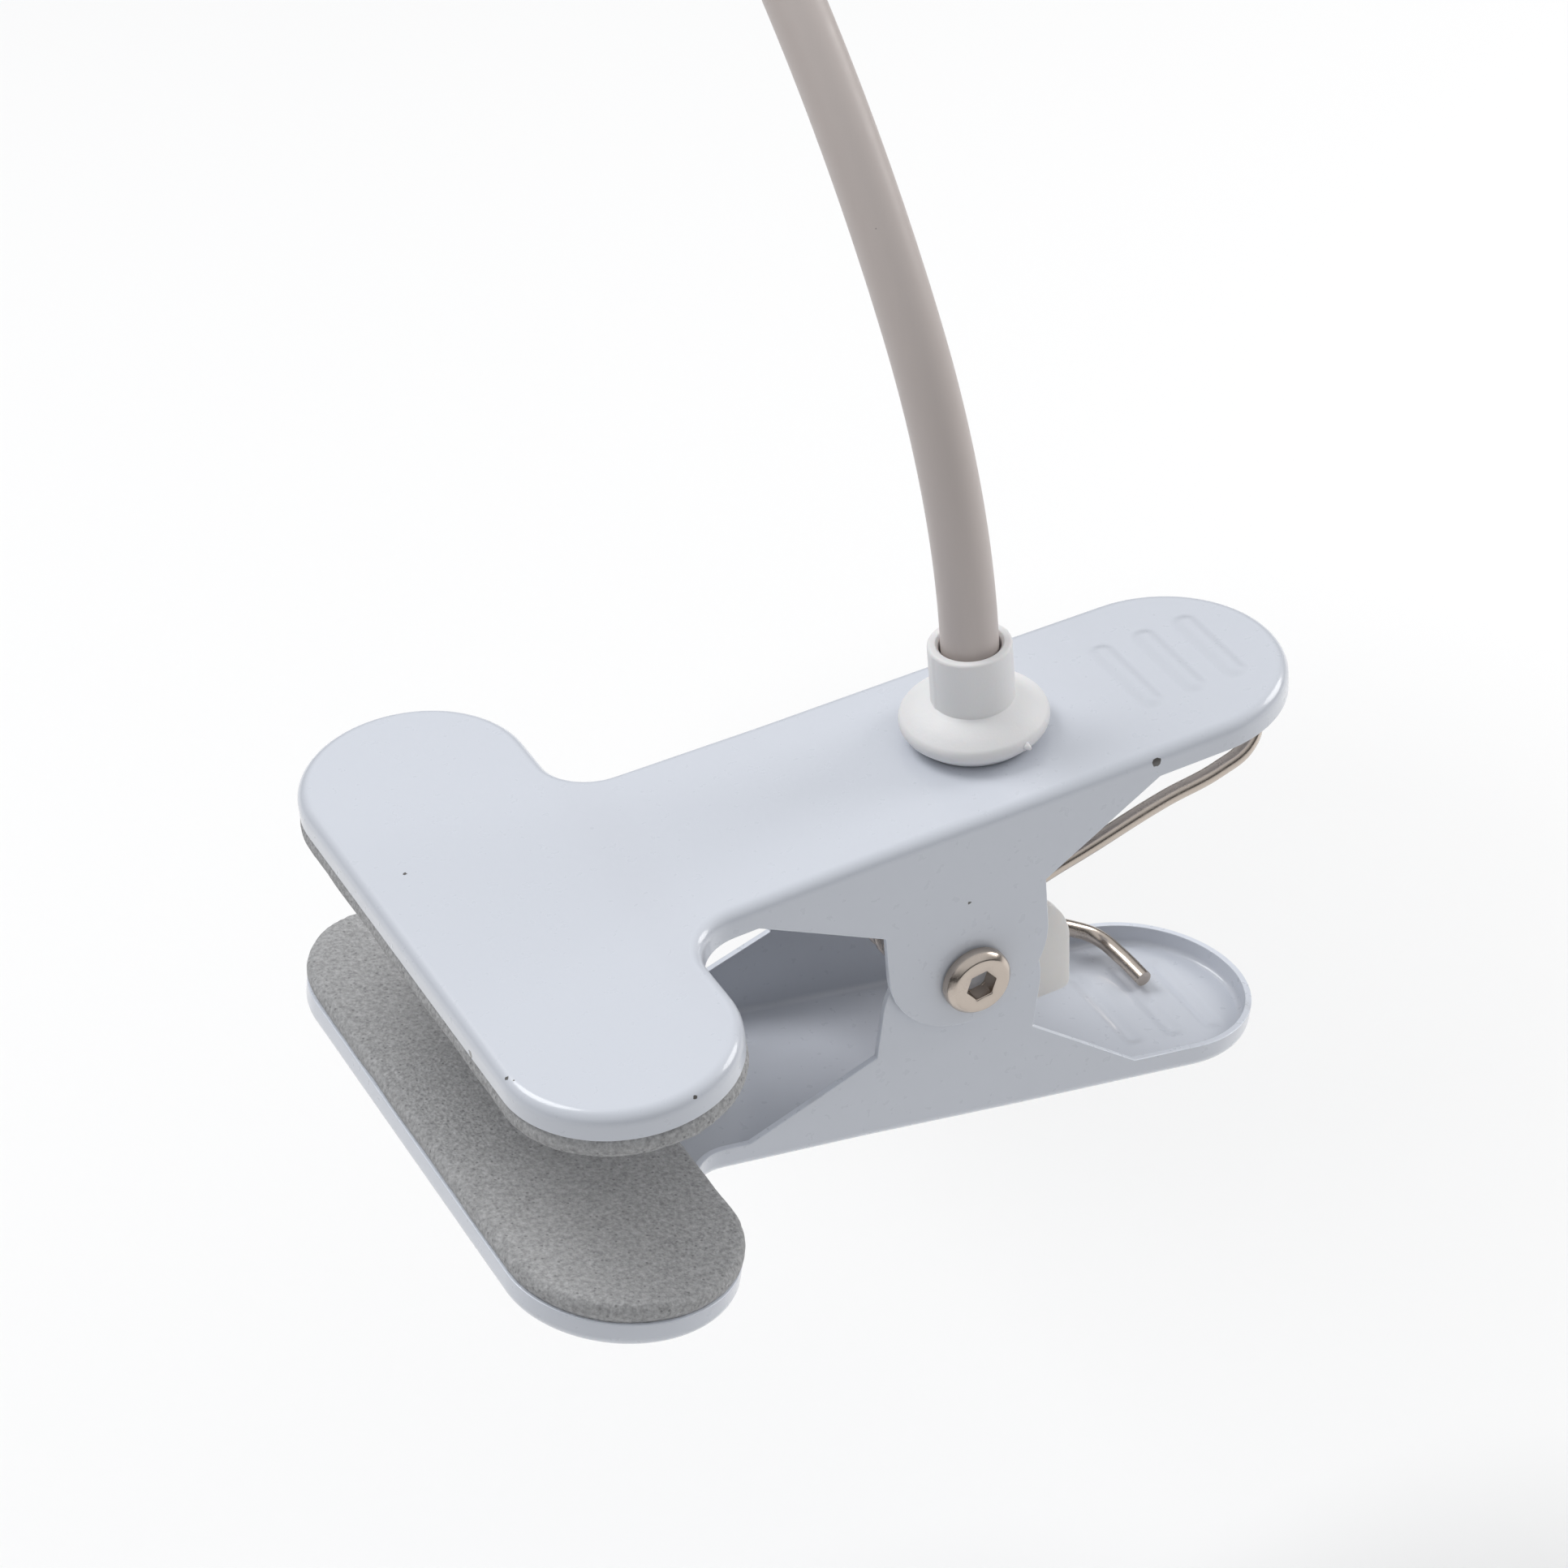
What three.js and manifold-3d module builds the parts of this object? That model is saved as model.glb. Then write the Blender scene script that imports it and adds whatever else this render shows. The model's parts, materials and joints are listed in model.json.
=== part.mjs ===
// Clip-on reading lamp: a two-lever spring clip, a bendable neck and a small rechargeable lamp head.
// Millimetres, +Z up. X runs from the jaw to the handles, Y along the pivot.
// The origin is the middle of the upper pad's gripping face.

import * as THREE from 'three';
import { mergeVertices } from 'three/addons/utils/BufferGeometryUtils.js';
import Module from 'manifold-3d';

const wasm = await Module();
wasm.setup();

// ---- driving dimensions -------------------------------------------------------------------

const GAP = 0.3;              // clearance between neighbouring pieces

// pressed levers
const SHEET = 0.9;            // steel thickness
const BEND = 1.7;             // outer radius of the folded edge
const SKIRT = 3.6;            // height of the folded edge
const JAW_HALF = 44;          // half the jaw's length across the clip
const JAW_R = 14.75;          // half the jaw's width, and the radius of its ends
const FILLET = 6.5;           // corner between jaw and strip
const STRIP_HALF = 16.3;      // half width of the upper strip
const FLARE = 0.5;            // the strip widens by this towards the jaw, narrows towards the handle
const HANDLE_X = 89.6;        // centre of the handle's round end
const CHEEK_X = [41.15, 63.35];
const CHEEK_SHOULDER = 12.6;  // depth at which the cheeks start
const CHEEK_ROUND_Z = 19;     // depth of the centre of the cheek's round end
const SLOPE_X = [24.5, 79.9]; // where the folded edge starts to deepen on either side
const LOWER_HALF = STRIP_HALF - SHEET - 0.25;

// clip pivot
const PAD_STANDS = 2.7;       // how far the pads stand below the folded edge
const PAD_INSET = 0.15;
const PLATE_Z = PAD_STANDS + SKIRT;
const PIVOT_X = 52.55;
const PIVOT_DROP = 23.2;      // from a lever's flat face to the pivot
const PIVOT_Z = PLATE_Z - PIVOT_DROP;
const SPREAD = 11.6;          // degrees between the levers as clamped
const HEAD_R = 4.5;           // pivot screw head
const BARREL_R = 3.0;

// torsion spring
const WIRE = 2.2;
const COIL_R = 5.6;
const COIL_HALF = 8.0;
const COIL_TURNS = 6;

// neck
const NECK_X = 63.0;
const NECK_R = 3.6;
const NECK_PLANE = 88.6;      // direction in which the neck leans, degrees from +X
const NECK_STRAIGHT_TO = 22;  // height at which the neck starts to bend
const NECK_ARCS = [            // radius and angle of each bend, from the clip to the head
  { radius: 68.6, angle: 32 },
  { radius: 142, angle: 20 },
  { radius: 107, angle: 73 },
];
const LINKS = 10;

// lamp head, along its own axis from the rear face
const LAMP_R = 22;
const LAMP_WALL = 1.8;
const LAMP_FRONT = 42;
const OFFSET = 10.6;          // of the button and the charging inlet from the axis
const BUTTON_R = 3.6;
const BUTTON_PROUD = 1.6;

// ---- helpers ------------------------------------------------------------------------------

const rad = THREE.MathUtils.degToRad;

function toSolid(geometry) {
  const g = geometry.clone();
  g.deleteAttribute('normal');
  g.deleteAttribute('uv');
  const m = mergeVertices(g, 1e-4);
  return new wasm.Manifold(new wasm.Mesh({
    numProp: 3,
    vertProperties: new Float32Array(m.attributes.position.array),
    triVerts: new Uint32Array(m.index.array),
  }));
}

function toGeometry(solid) {
  const mesh = solid.getMesh();
  const g = new THREE.BufferGeometry();
  g.setAttribute('position', new THREE.BufferAttribute(new Float32Array(mesh.vertProperties), 3));
  g.setIndex(new THREE.BufferAttribute(new Uint32Array(mesh.triVerts), 1));
  g.computeVertexNormals();
  return g;
}

function cut(base, ...tools) {
  let s = toSolid(base);
  for (const t of tools) s = s.subtract(toSolid(t));
  return toGeometry(s);
}

function join(base, ...others) {
  let s = toSolid(base);
  for (const o of others) s = s.add(toSolid(o));
  return toGeometry(s);
}

// closed solid of revolution about Z from [radius, z] pairs
function turned(profile, segments = 32) {
  const pts = [...profile, profile[0]].map(([r, z]) => new THREE.Vector2(r, z));
  const area = pts.reduce((a, p, i) => {
    const q = pts[(i + 1) % pts.length];
    return a + p.x * q.y - q.x * p.y;
  }, 0);
  if (area < 0) pts.reverse();
  const g = new THREE.LatheGeometry(pts, segments);
  g.rotateX(Math.PI / 2);
  return g;
}

function rod(r, z0, z1, segments = 24) {
  return turned([[0, z0], [r, z0], [r, z1], [0, z1]], segments);
}

function tube(rOut, rIn, z0, z1, segments = 32) {
  return turned([[rIn, z0], [rOut, z0], [rOut, z1], [rIn, z1]], segments);
}

// prism along Z from an outline of [x, y] pairs
function prism(outline, z0, z1) {
  const shape = new THREE.Shape(outline.map(([x, y]) => new THREE.Vector2(x, y)));
  const g = new THREE.ExtrudeGeometry(shape, { depth: z1 - z0, bevelEnabled: false });
  g.translate(0, 0, z0);
  return g;
}

function polygon(n, acrossFlats, turn = 0) {
  const r = acrossFlats / 2 / Math.cos(Math.PI / n);
  return Array.from({ length: n }, (_, i) => {
    const a = turn + (2 * Math.PI * i) / n;
    return [r * Math.cos(a), r * Math.sin(a)];
  });
}

function roundedRect(w, h, r, steps = 4) {
  const out = [];
  [[1, 1, 0], [-1, 1, 90], [-1, -1, 180], [1, -1, 270]].forEach(([sx, sy, a0]) => {
    for (let i = 0; i <= steps; i++) {
      const a = rad(a0 + (90 * i) / steps);
      out.push([sx * (w / 2 - r) + r * Math.cos(a), sy * (h / 2 - r) + r * Math.sin(a)]);
    }
  });
  return out;
}

// turns a solid made along Z so that it lies along Y
const alongY = (g) => g.clone().rotateX(-Math.PI / 2);

const arc = (cx, cy, r, from, to, steps) => Array.from({ length: steps + 1 }, (_, i) => {
  const a = rad(from + ((to - from) * i) / steps);
  return [cx + r * Math.cos(a), cy + r * Math.sin(a), Math.cos(a), Math.sin(a)];
});

// ---- levers -------------------------------------------------------------------------------

// depth of the folded edge along the strip
function skirtDepth(x) {
  const [c0, c1] = CHEEK_X;
  const [s0, s1] = SLOPE_X;
  const r = (c1 - c0) / 2;
  if (x > c0 && x < c1) {
    const dx = x - (c0 + c1) / 2;
    return CHEEK_ROUND_Z + Math.sqrt(Math.max(0, r * r - dx * dx));
  }
  if (x <= c0 && x > s0) return SKIRT + ((CHEEK_SHOULDER - SKIRT) * (x - s0)) / (c0 - s0);
  if (x >= c1 && x < s1) return SKIRT + ((CHEEK_SHOULDER - SKIRT) * (s1 - x)) / (s1 - c1);
  return SKIRT;
}

// plan outline as { x, y, nx, ny, depth }, anticlockwise from the handle's tip
function leverOutline(half) {
  const [c0, c1] = CHEEK_X;
  const mid = (c0 + c1) / 2;
  const r = (c1 - c0) / 2;
  const wide = half + FLARE;
  const narrow = half - FLARE;
  const step = 0.01;
  const cheek = [];
  for (let i = 0; i <= 12; i++) cheek.push(mid + (r - step) * Math.cos((Math.PI * i) / 12));
  const stations = [
    SLOPE_X[1], c1 + 1.2, c1, ...cheek, c0, SLOPE_X[0],
  ];
  const width = (x) => {
    if (x > c1) return half + ((narrow - half) * (x - c1)) / (HANDLE_X - c1);
    if (x < c0) return half + ((wide - half) * (c0 - x)) / (c0 - JAW_R - FILLET);
    return half;
  };
  const side = [
    ...arc(HANDLE_X, 0, narrow, 0, 90, 12),
    ...stations.map((x) => [x, width(x), 0, 1]),
    ...arc(JAW_R + FILLET, wide + FILLET, FILLET, 270, 180, 6).map(([x, y, nx, ny]) => [x, y, -nx, -ny]),
    ...arc(0, JAW_HALF - JAW_R, JAW_R, 0, 180, 22),
    [-JAW_R, JAW_HALF / 3, -1, 0],
  ].map(([x, y, nx, ny]) => ({ x, y, nx, ny, depth: Math.abs(ny) > 0.99 ? skirtDepth(x) : SKIRT }));
  const mirrored = side.slice(1).reverse().map((p) => ({ ...p, y: -p.y, ny: -p.ny }));
  return [...side, ...mirrored];
}

// A pressed lever, flat face up at z = 0: folded edge all round, cheeks, raised finger ribs
function pressedLever(half, ribStations, ribHalf, holes) {
  const loop = leverOutline(half);
  const n = loop.length;
  const rows = [];
  const row = (inset, z) => rows.push(loop.map((p) => [
    p.x - inset * p.nx, p.y - inset * p.ny, z === null ? -p.depth : z,
  ]));
  const inner = BEND - SHEET;
  for (let k = 0; k <= 3; k++) {
    const a = rad((90 * k) / 3);
    row(BEND * (1 - Math.sin(a)), -BEND * (1 - Math.cos(a)));
  }
  row(0, null);
  row(SHEET, null);
  for (let k = 2; k >= 0; k--) {
    const a = rad((90 * k) / 2);
    row(BEND - inner * Math.sin(a), -BEND + inner * Math.cos(a));
  }
  const pos = rows.flat(2);
  const index = [];
  for (let j = 0; j < rows.length - 1; j++) {
    for (let i = 0; i < n; i++) {
      const a = j * n + i;
      const b = j * n + ((i + 1) % n);
      index.push(a, a + n, b, b, a + n, b + n);
    }
  }
  // a face with its ribs: the flat part, then each rib's sloping side and crown
  const face = (offset, z, up) => {
    const contour = rows[offset].map(([x, y]) => new THREE.Vector2(x, y));
    const ribs = ribStations.map((x) => ({
      foot: roundedRect(2.6, 2 * ribHalf, 1.29, 2).map(([u, v]) => new THREE.Vector2(x + u, v)),
      crown: roundedRect(1.2, 2 * ribHalf - 1.4, 0.59, 2).map(([u, v]) => new THREE.Vector2(x + u, v)),
    }));
    const flat = THREE.ShapeUtils.triangulateShape(contour, ribs.map((r) => r.foot));
    const points = [contour, ...ribs.map((r) => r.foot)].flat();
    const base = pos.length / 3;
    points.forEach((p) => pos.push(p.x, p.y, z));
    flat.forEach(([a, b, c]) => index.push(...(up ? [a, b, c] : [a, c, b]).map((v) => v + base)));
    for (const { foot, crown } of ribs) {
      const f = pos.length / 3;
      foot.forEach((p) => pos.push(p.x, p.y, z));
      crown.forEach((p) => pos.push(p.x, p.y, z + 0.45));
      const m = foot.length;
      for (let i = 0; i < m; i++) {
        const a = f + i;
        const b = f + ((i + 1) % m);
        const quad = [a, b, b + m, a, b + m, a + m];
        index.push(...(up ? quad : quad.reverse()));
      }
      THREE.ShapeUtils.triangulateShape(crown, []).forEach(([a, b, c]) => {
        index.push(...(up ? [a, b, c] : [a, c, b]).map((v) => v + f + m));
      });
    }
  };
  face(0, 0, true);
  face(rows.length - 1, -SHEET, false);
  const g = new THREE.BufferGeometry();
  g.setAttribute('position', new THREE.Float32BufferAttribute(pos, 3));
  g.setIndex(index);
  return cut(g, ...holes);
}

const pivotHole = alongY(rod(BARREL_R + GAP, -30, 30)).translate(PIVOT_X, 0, -PIVOT_DROP);

// a pad fills the jaw: its back sits inside the folded edge, its face stands proud of it
function jawPad() {
  const r = JAW_R - SHEET - GAP;
  const c = JAW_HALF - JAW_R;
  const outline = (rr) => [
    ...arc(0, c, rr, 0, 180, 12), ...arc(0, -c, rr, 180, 360, 12),
  ].map(([x, y]) => [x, y]);
  const top = prism(outline(r), -SKIRT + 0.2, -SHEET - GAP);
  const face = prism(outline(JAW_R - PAD_INSET), -SKIRT - PAD_STANDS, -SKIRT - GAP);
  const throat = prism(outline(r), -SKIRT - GAP - 0.4, -SKIRT + 0.4);
  return join(top, throat, face);
}

// ---- spring -------------------------------------------------------------------------------

class PointsCurve extends THREE.CatmullRomCurve3 {
  constructor(points) {
    super(points, false, 'centripetal');
  }
}

function wireAlong(curve, radius, steps, sides = 10) {
  const ring = new THREE.Shape(
    Array.from({ length: sides }, (_, i) => {
      const a = (2 * Math.PI * i) / sides;
      return new THREE.Vector2(radius * Math.cos(a), radius * Math.sin(a));
    }),
  );
  return new THREE.ExtrudeGeometry(ring, { steps, extrudePath: curve, bevelEnabled: false });
}

function torsionSpring() {
  const v = (x, y, z) => new THREE.Vector3(x, y, z);
  const start = rad(106.5);
  const end = rad(238) + 2 * Math.PI * COIL_TURNS;
  const upperLeg = [
    v(98.2, 5, 3.9), v(98.2, -3.5, 2.7), v(97.2, -9.6, 0.9), v(94.3, -12.4, -0.7),
    v(90, -12.9, -2.2), v(82, -12.9, -4.6), v(68, -12.8, -8.7), v(59, -12.1, -10.6),
  ];
  const coil = [];
  const n = 10 * COIL_TURNS;
  for (let i = 0; i <= n; i++) {
    const t = i / n;
    const a = start + (end - start) * t;
    coil.push(v(PIVOT_X + COIL_R * Math.cos(a), COIL_HALF * (2 * t - 1), PIVOT_Z + COIL_R * Math.sin(a)));
  }
  const lowerLeg = [
    v(57, 10.9, -26.2), v(66, 12.6, -31.8), v(76, 12.8, -38), v(81.9, 12.8, -41.6),
    v(85, 11.6, -43.6), v(86.3, 8, -44.7), v(86.8, 2.5, -45.2),
  ];
  return wireAlong(new PointsCurve([...upperLeg, ...coil, ...lowerLeg]), WIRE / 2, 105, 7);
}

// nylon spool: a core inside the coil and one flange beside it, drawn as [x, z] from the pivot
function springSpool() {
  const core = tube(COIL_R - WIRE / 2 - GAP, BARREL_R + GAP, -11.2, 11.2, 20);
  const flange = [
    [-5.5, -1.5], [-5.5, -12.4], [16.2, -12.4], [16.7, -4], [16.3, -1.2], [14.9, 1.4], [13, 2.4],
    [9.5, 2], [4, -0.8],
  ];
  const plate = prism(flange, 9.3, 10.7);
  const bore = rod(BARREL_R + GAP, -12, 12, 20);
  return cut(join(core, plate), bore).rotateX(Math.PI / 2);
}

// ---- neck ---------------------------------------------------------------------------------

const lean = new THREE.Vector3(Math.cos(rad(NECK_PLANE)), Math.sin(rad(NECK_PLANE)), 0);
const bendAxis = new THREE.Vector3(0, 0, 1).cross(lean);

// point and direction of the neck's centre line at a length measured from the straight part's top
function neckAt(length) {
  let s = 0;
  let z = NECK_STRAIGHT_TO + Math.min(length, 0);
  let a = 0;
  let rest = Math.max(length, 0);
  for (const arc of NECK_ARCS) {
    const turn = Math.min(rest / arc.radius, rad(arc.angle));
    s += arc.radius * (Math.cos(a) - Math.cos(a + turn));
    z += arc.radius * (Math.sin(a + turn) - Math.sin(a));
    a += turn;
    rest -= arc.radius * turn;
  }
  s += rest * Math.sin(a);
  z += rest * Math.cos(a);
  const point = new THREE.Vector3(NECK_X, 0, z).addScaledVector(lean, s);
  const along = new THREE.Vector3(0, 0, Math.cos(a)).addScaledVector(lean, Math.sin(a));
  return { point, along };
}

const NECK_LENGTH = NECK_ARCS.reduce((sum, arc) => sum + arc.radius * rad(arc.angle), 0);
const PITCH = NECK_LENGTH / LINKS;
const jointAt = (i) => PITCH * (i - 0.5);   // joints 1 to LINKS

// one link: hollowed to a socket at its lower end, domed at its upper end
function neckLink(from, to, socket, dome) {
  const sides = 14;
  const rings = [];
  const steps = Math.max(2, Math.round((to - from) / 7));
  const socketR = NECK_R + GAP;
  const reach = Math.sqrt(socketR ** 2 - NECK_R ** 2);
  const frame = (l) => {
    const { point, along } = neckAt(l);
    return { point, along, u: bendAxis.clone(), w: along.clone().cross(bendAxis) };
  };
  const ring = (f, r, h) => Array.from({ length: sides }, (_, i) => {
    const a = (2 * Math.PI * i) / sides;
    return f.point.clone().addScaledVector(f.along, h)
      .addScaledVector(f.u, r * Math.cos(a)).addScaledVector(f.w, r * Math.sin(a));
  });
  const a = frame(from);
  const b = frame(to);
  if (socket) {
    const rim = Math.asin(reach / socketR);
    for (let k = 1; k <= 3; k++) {
      const t = Math.PI / 2 - ((Math.PI / 2 - rim) * k) / 3;
      rings.push(ring(a, socketR * Math.cos(t), socketR * Math.sin(t)));
    }
  } else {
    rings.push(ring(a, NECK_R, 0));
  }
  const first = socket ? reach : 0;
  for (let k = 1; k < steps; k++) rings.push(ring(frame(from + first + ((to - from - first) * k) / steps), NECK_R, 0));
  rings.push(ring(b, NECK_R, 0));
  if (dome) {
    for (let k = 1; k <= 2; k++) {
      const t = (Math.PI / 2) * (k / 3);
      rings.push(ring(b, NECK_R * Math.cos(t), NECK_R * Math.sin(t)));
    }
  }
  const pos = [];
  const index = [];
  rings.forEach((r) => r.forEach((p) => pos.push(p.x, p.y, p.z)));
  for (let j = 0; j < rings.length - 1; j++) {
    for (let i = 0; i < sides; i++) {
      const p = j * sides + i;
      const q = j * sides + ((i + 1) % sides);
      index.push(p, q, p + sides, q, q + sides, p + sides);
    }
  }
  const cap = (start, h, f, flip) => {
    const c = f.point.clone().addScaledVector(f.along, h);
    pos.push(c.x, c.y, c.z);
    const m = pos.length / 3 - 1;
    for (let i = 0; i < sides; i++) {
      const t = [start + i, start + ((i + 1) % sides), m];
      index.push(...(flip ? t.reverse() : t));
    }
  };
  cap(0, socket ? socketR : 0, a, true);
  cap((rings.length - 1) * sides, dome ? NECK_R : 0, b, false);
  const g = new THREE.BufferGeometry();
  g.setAttribute('position', new THREE.Float32BufferAttribute(pos, 3));
  g.setIndex(index);
  return g;
}

// collar: domed flange on the plate, stub with two flats, threaded shank below
function neckCollar() {
  const bore = NECK_R + GAP;
  return turned([
    [bore, -9], [4.7, -9], [4.7, 0.2], [7.6, 0.2], [8.4, 1.0], [9.2, 1.8], [9.38, 2.4], [9.2, 3.0],
    [8.5, 3.8], [7.4, 4.6], [6.3, 5.2], [5.25, 5.6], [5.25, 13.1], [4.85, 13.5], [bore, 13.5],
  ], 36);
}

// ---- build --------------------------------------------------------------------------------

const group = new THREE.Group();
group.name = 'clip_on_reading_lamp';

const finish = (name, color, roughness, metalness) =>
  Object.assign(new THREE.MeshStandardMaterial({ color, roughness, metalness }), { name });

const paint = finish('pale_enamel', 0xd2d6df, 0.32, 0.1);
const foam = finish('grey_foam', 0x8f8f90, 0.95, 0);
const nickel = finish('nickel', 0xb8aea2, 0.25, 1);
const nylon = finish('nylon', 0xd6d1cb, 0.55, 0);
const white = finish('white_plastic', 0xe2e1e2, 0.6, 0);
const sleeve = finish('neck_sleeve', 0xc4bfba, 0.5, 0);
const aluminium = finish('aluminium', 0xb9bcc0, 0.4, 1);
const frosted = finish('frosted_lens', 0xf2f1ec, 0.35, 0);
const board = finish('circuit_board', 0x2f6b45, 0.5, 0);
const black = finish('black_plastic', 0x26272a, 0.5, 0);
const yellow = finish('phosphor', 0xe6c64a, 0.5, 0);
const silver = finish('mirror_coating', 0xdadcde, 0.12, 1);
const wrap = finish('cell_wrap', 0x4a6f96, 0.45, 0);

function add(parent, name, geometry, material) {
  const mesh = new THREE.Mesh(geometry, material.clone());
  mesh.name = name;
  parent.add(mesh);
  return mesh;
}

const place = (parent, x, y, z) => {
  const g = new THREE.Group();
  g.position.set(x, y, z);
  parent.add(g);
  return g;
};

// upper half of the clip
const upper = place(group, 0, 0, PLATE_Z);
const collarHole = rod(5, -5, 5, 32).translate(NECK_X, 0, 0);
add(upper, 'upper_lever', pressedLever(STRIP_HALF, [84.6, 90.7, 96.6], 8, [pivotHole, collarHole]), paint);
add(upper, 'upper_pad', jawPad(), foam);

// lower half: the same pressing, turned over about the pivot and spread from the upper one
const lowerPivot = place(group, PIVOT_X, 0, PIVOT_Z);
lowerPivot.rotation.y = rad(SPREAD);
const lower = place(lowerPivot, -PIVOT_X, 0, -PIVOT_DROP);
lower.rotation.x = Math.PI;
add(lower, 'lower_lever', pressedLever(LOWER_HALF, [84.6, 90.7, 96.6], 8.8, [pivotHole]), paint);
add(lower, 'lower_pad', jawPad(), foam);

// pivot, along Y
const pivot = place(group, PIVOT_X, 0, PIVOT_Z);
const face = STRIP_HALF + GAP;
const screw = cut(
  join(
    turned([[0, face], [HEAD_R, face], [HEAD_R, face + 1.5], [HEAD_R - 0.5, face + 2], [0, face + 2]], 32),
    rod(BARREL_R - 1 - 0.1, 2, face + 0.5, 20),
  ),
  prism(polygon(6, 3.6, 0.4), face + 0.6, face + 4),
);
add(pivot, 'pivot_screw', screw.rotateX(Math.PI / 2), nickel);
const nut = cut(
  join(
    turned([[0, face], [HEAD_R, face], [HEAD_R, face + 1.3], [HEAD_R - 0.7, face + 1.8], [0, face + 1.8]], 32),
    rod(BARREL_R, -STRIP_HALF, face + 0.5, 20),
  ),
  rod(BARREL_R - 0.8, -STRIP_HALF - 1, face - 1, 20),
);
add(pivot, 'pivot_nut', alongY(nut), nickel);
const spacer = alongY(tube(COIL_R - WIRE / 2 - GAP - 0.1, BARREL_R + GAP, -1.2, 1.2, 20));
add(pivot, 'spring_spool', springSpool(), nylon);
add(pivot, 'pivot_spacer_near', spacer.clone().translate(0, -12.7, 0), nylon);
add(pivot, 'pivot_spacer_far', spacer.clone().translate(0, 12.7, 0), nylon);
add(group, 'torsion_spring', torsionSpring(), nickel);

// collar with its washer and nut under the plate
const collar = place(group, NECK_X, 0, PLATE_Z);
add(collar, 'neck_collar', neckCollar(), white);
add(collar, 'collar_washer', tube(8, 5, -SHEET - GAP - 0.8, -SHEET - GAP, 28), nickel);
add(collar, 'collar_nut', cut(
  prism(polygon(6, 14, 0), -SHEET - 2 * GAP - 4.3, -SHEET - 2 * GAP - 0.8),
  rod(5, -10, 0, 24),
), nickel);

// neck
add(group, 'neck_root', neckLink(PLATE_Z - 6 - NECK_STRAIGHT_TO, jointAt(1), false, true), sleeve);
for (let i = 1; i <= LINKS; i++) {
  const last = i === LINKS;
  const link = neckLink(jointAt(i), last ? NECK_LENGTH + 6 : jointAt(i + 1), true, !last);
  add(group, `neck_link_${String(i).padStart(2, '0')}`, link, sleeve);
}

// lamp head: local Z runs forward along the neck's end
const tip = neckAt(NECK_LENGTH + 6);
const lamp = new THREE.Group();
lamp.quaternion.setFromRotationMatrix(new THREE.Matrix4().makeBasis(
  bendAxis.clone(), tip.along.clone().cross(bendAxis), tip.along,
));
lamp.position.copy(tip.point).addScaledVector(tip.along, 4);
group.add(lamp);

add(lamp, 'head_ferrule', cut(
  turned([[0, -9], [4.9, -9], [5.6, -8.2], [5.6, -1.4], [6.6, -GAP], [4, -GAP], [4, 6.6], [0, 6.6]], 28),
  rod(NECK_R + GAP, -10, -3.6, 28),
), nickel);
add(lamp, 'head_nut', cut(prism(polygon(6, 10.4, 0), 2 + GAP, 5.8), rod(4 + GAP, 0, 8, 28)), nickel);

const shellBody = turned([
  [4.3, 0], [15, 0], ...arc(15, 7, 7, 270, 360, 5).slice(1).map(([r, z]) => [r, z]),
  [LAMP_R, LAMP_FRONT], [20.7, LAMP_FRONT], [20.7, 27], [19.4, 27], [19.4, 8], [18.4, 4.4], [15.8, 2], [4.3, 2],
], 44);
const boss = rod(2.6, 1.5, 8.7, 12);
add(lamp, 'head_shell', cut(
  join(shellBody, boss.clone().translate(0, 13, 0), boss.clone().translate(0, -13, 0)),
  rod(BUTTON_R + GAP, -1, 3, 28).translate(OFFSET, 0, 0),
  prism(roundedRect(9.6, 3.9, 1.9), -1, 3).rotateZ(Math.PI / 2).translate(-OFFSET, 0, 0),
  rod(1.25, 3.2, 9, 16).translate(0, 13, 0),
  rod(1.25, 3.2, 9, 16).translate(0, -13, 0),
), paint);

add(lamp, 'push_button', turned([
  [0, -BUTTON_PROUD], [BUTTON_R - 0.9, -BUTTON_PROUD], [BUTTON_R, -BUTTON_PROUD + 0.7], [BUTTON_R, 2 + GAP],
  [BUTTON_R + 0.6, 2 + GAP], [BUTTON_R + 0.6, 3.3], [1.6, 3.3], [1.6, 4.6], [0, 4.6],
], 24).translate(OFFSET, 0, 0), white);
add(lamp, 'tact_switch', join(
  prism(roundedRect(6, 6, 0.6, 2), 6.9, 8.7), rod(1.5, 5.9, 7.2, 16),
).translate(OFFSET, 0, 0), black);
const inlet = cut(
  prism(roundedRect(9, 3.3, 1.6), 0.3, 8.7),
  prism(roundedRect(8.2, 2.5, 1.2), -1, 7.2),
);
add(lamp, 'charging_inlet', inlet.rotateZ(Math.PI / 2).translate(-OFFSET, 0, 0), nickel);

const pcbHole = (y) => rod(1.4, 8, 12, 12).translate(0, y, 0);
add(lamp, 'control_board', cut(rod(17.2, 9, 10.4, 32), pcbHole(13), pcbHole(-13)), board);
const smallScrew = (z) => cut(
  turned([[0, z - 5], [1, z - 5], [1, z], [1.9, z], [1.9, z + 0.8], [1.4, z + 1.3], [0, z + 1.3]], 12),
  prism(roundedRect(2.4, 0.5, 0.2, 1), z + 0.7, z + 2),
);
add(lamp, 'board_screw_1', smallScrew(10.7).translate(0, 13, 0), nickel);
add(lamp, 'board_screw_2', smallScrew(10.7).translate(0, -13, 0), nickel);
add(lamp, 'battery_pad', prism(roundedRect(24, 17, 2), 10.7, 12.4), foam);
add(lamp, 'battery', prism(roundedRect(27, 20, 3), 12.7, 22.5), wrap);

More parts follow.
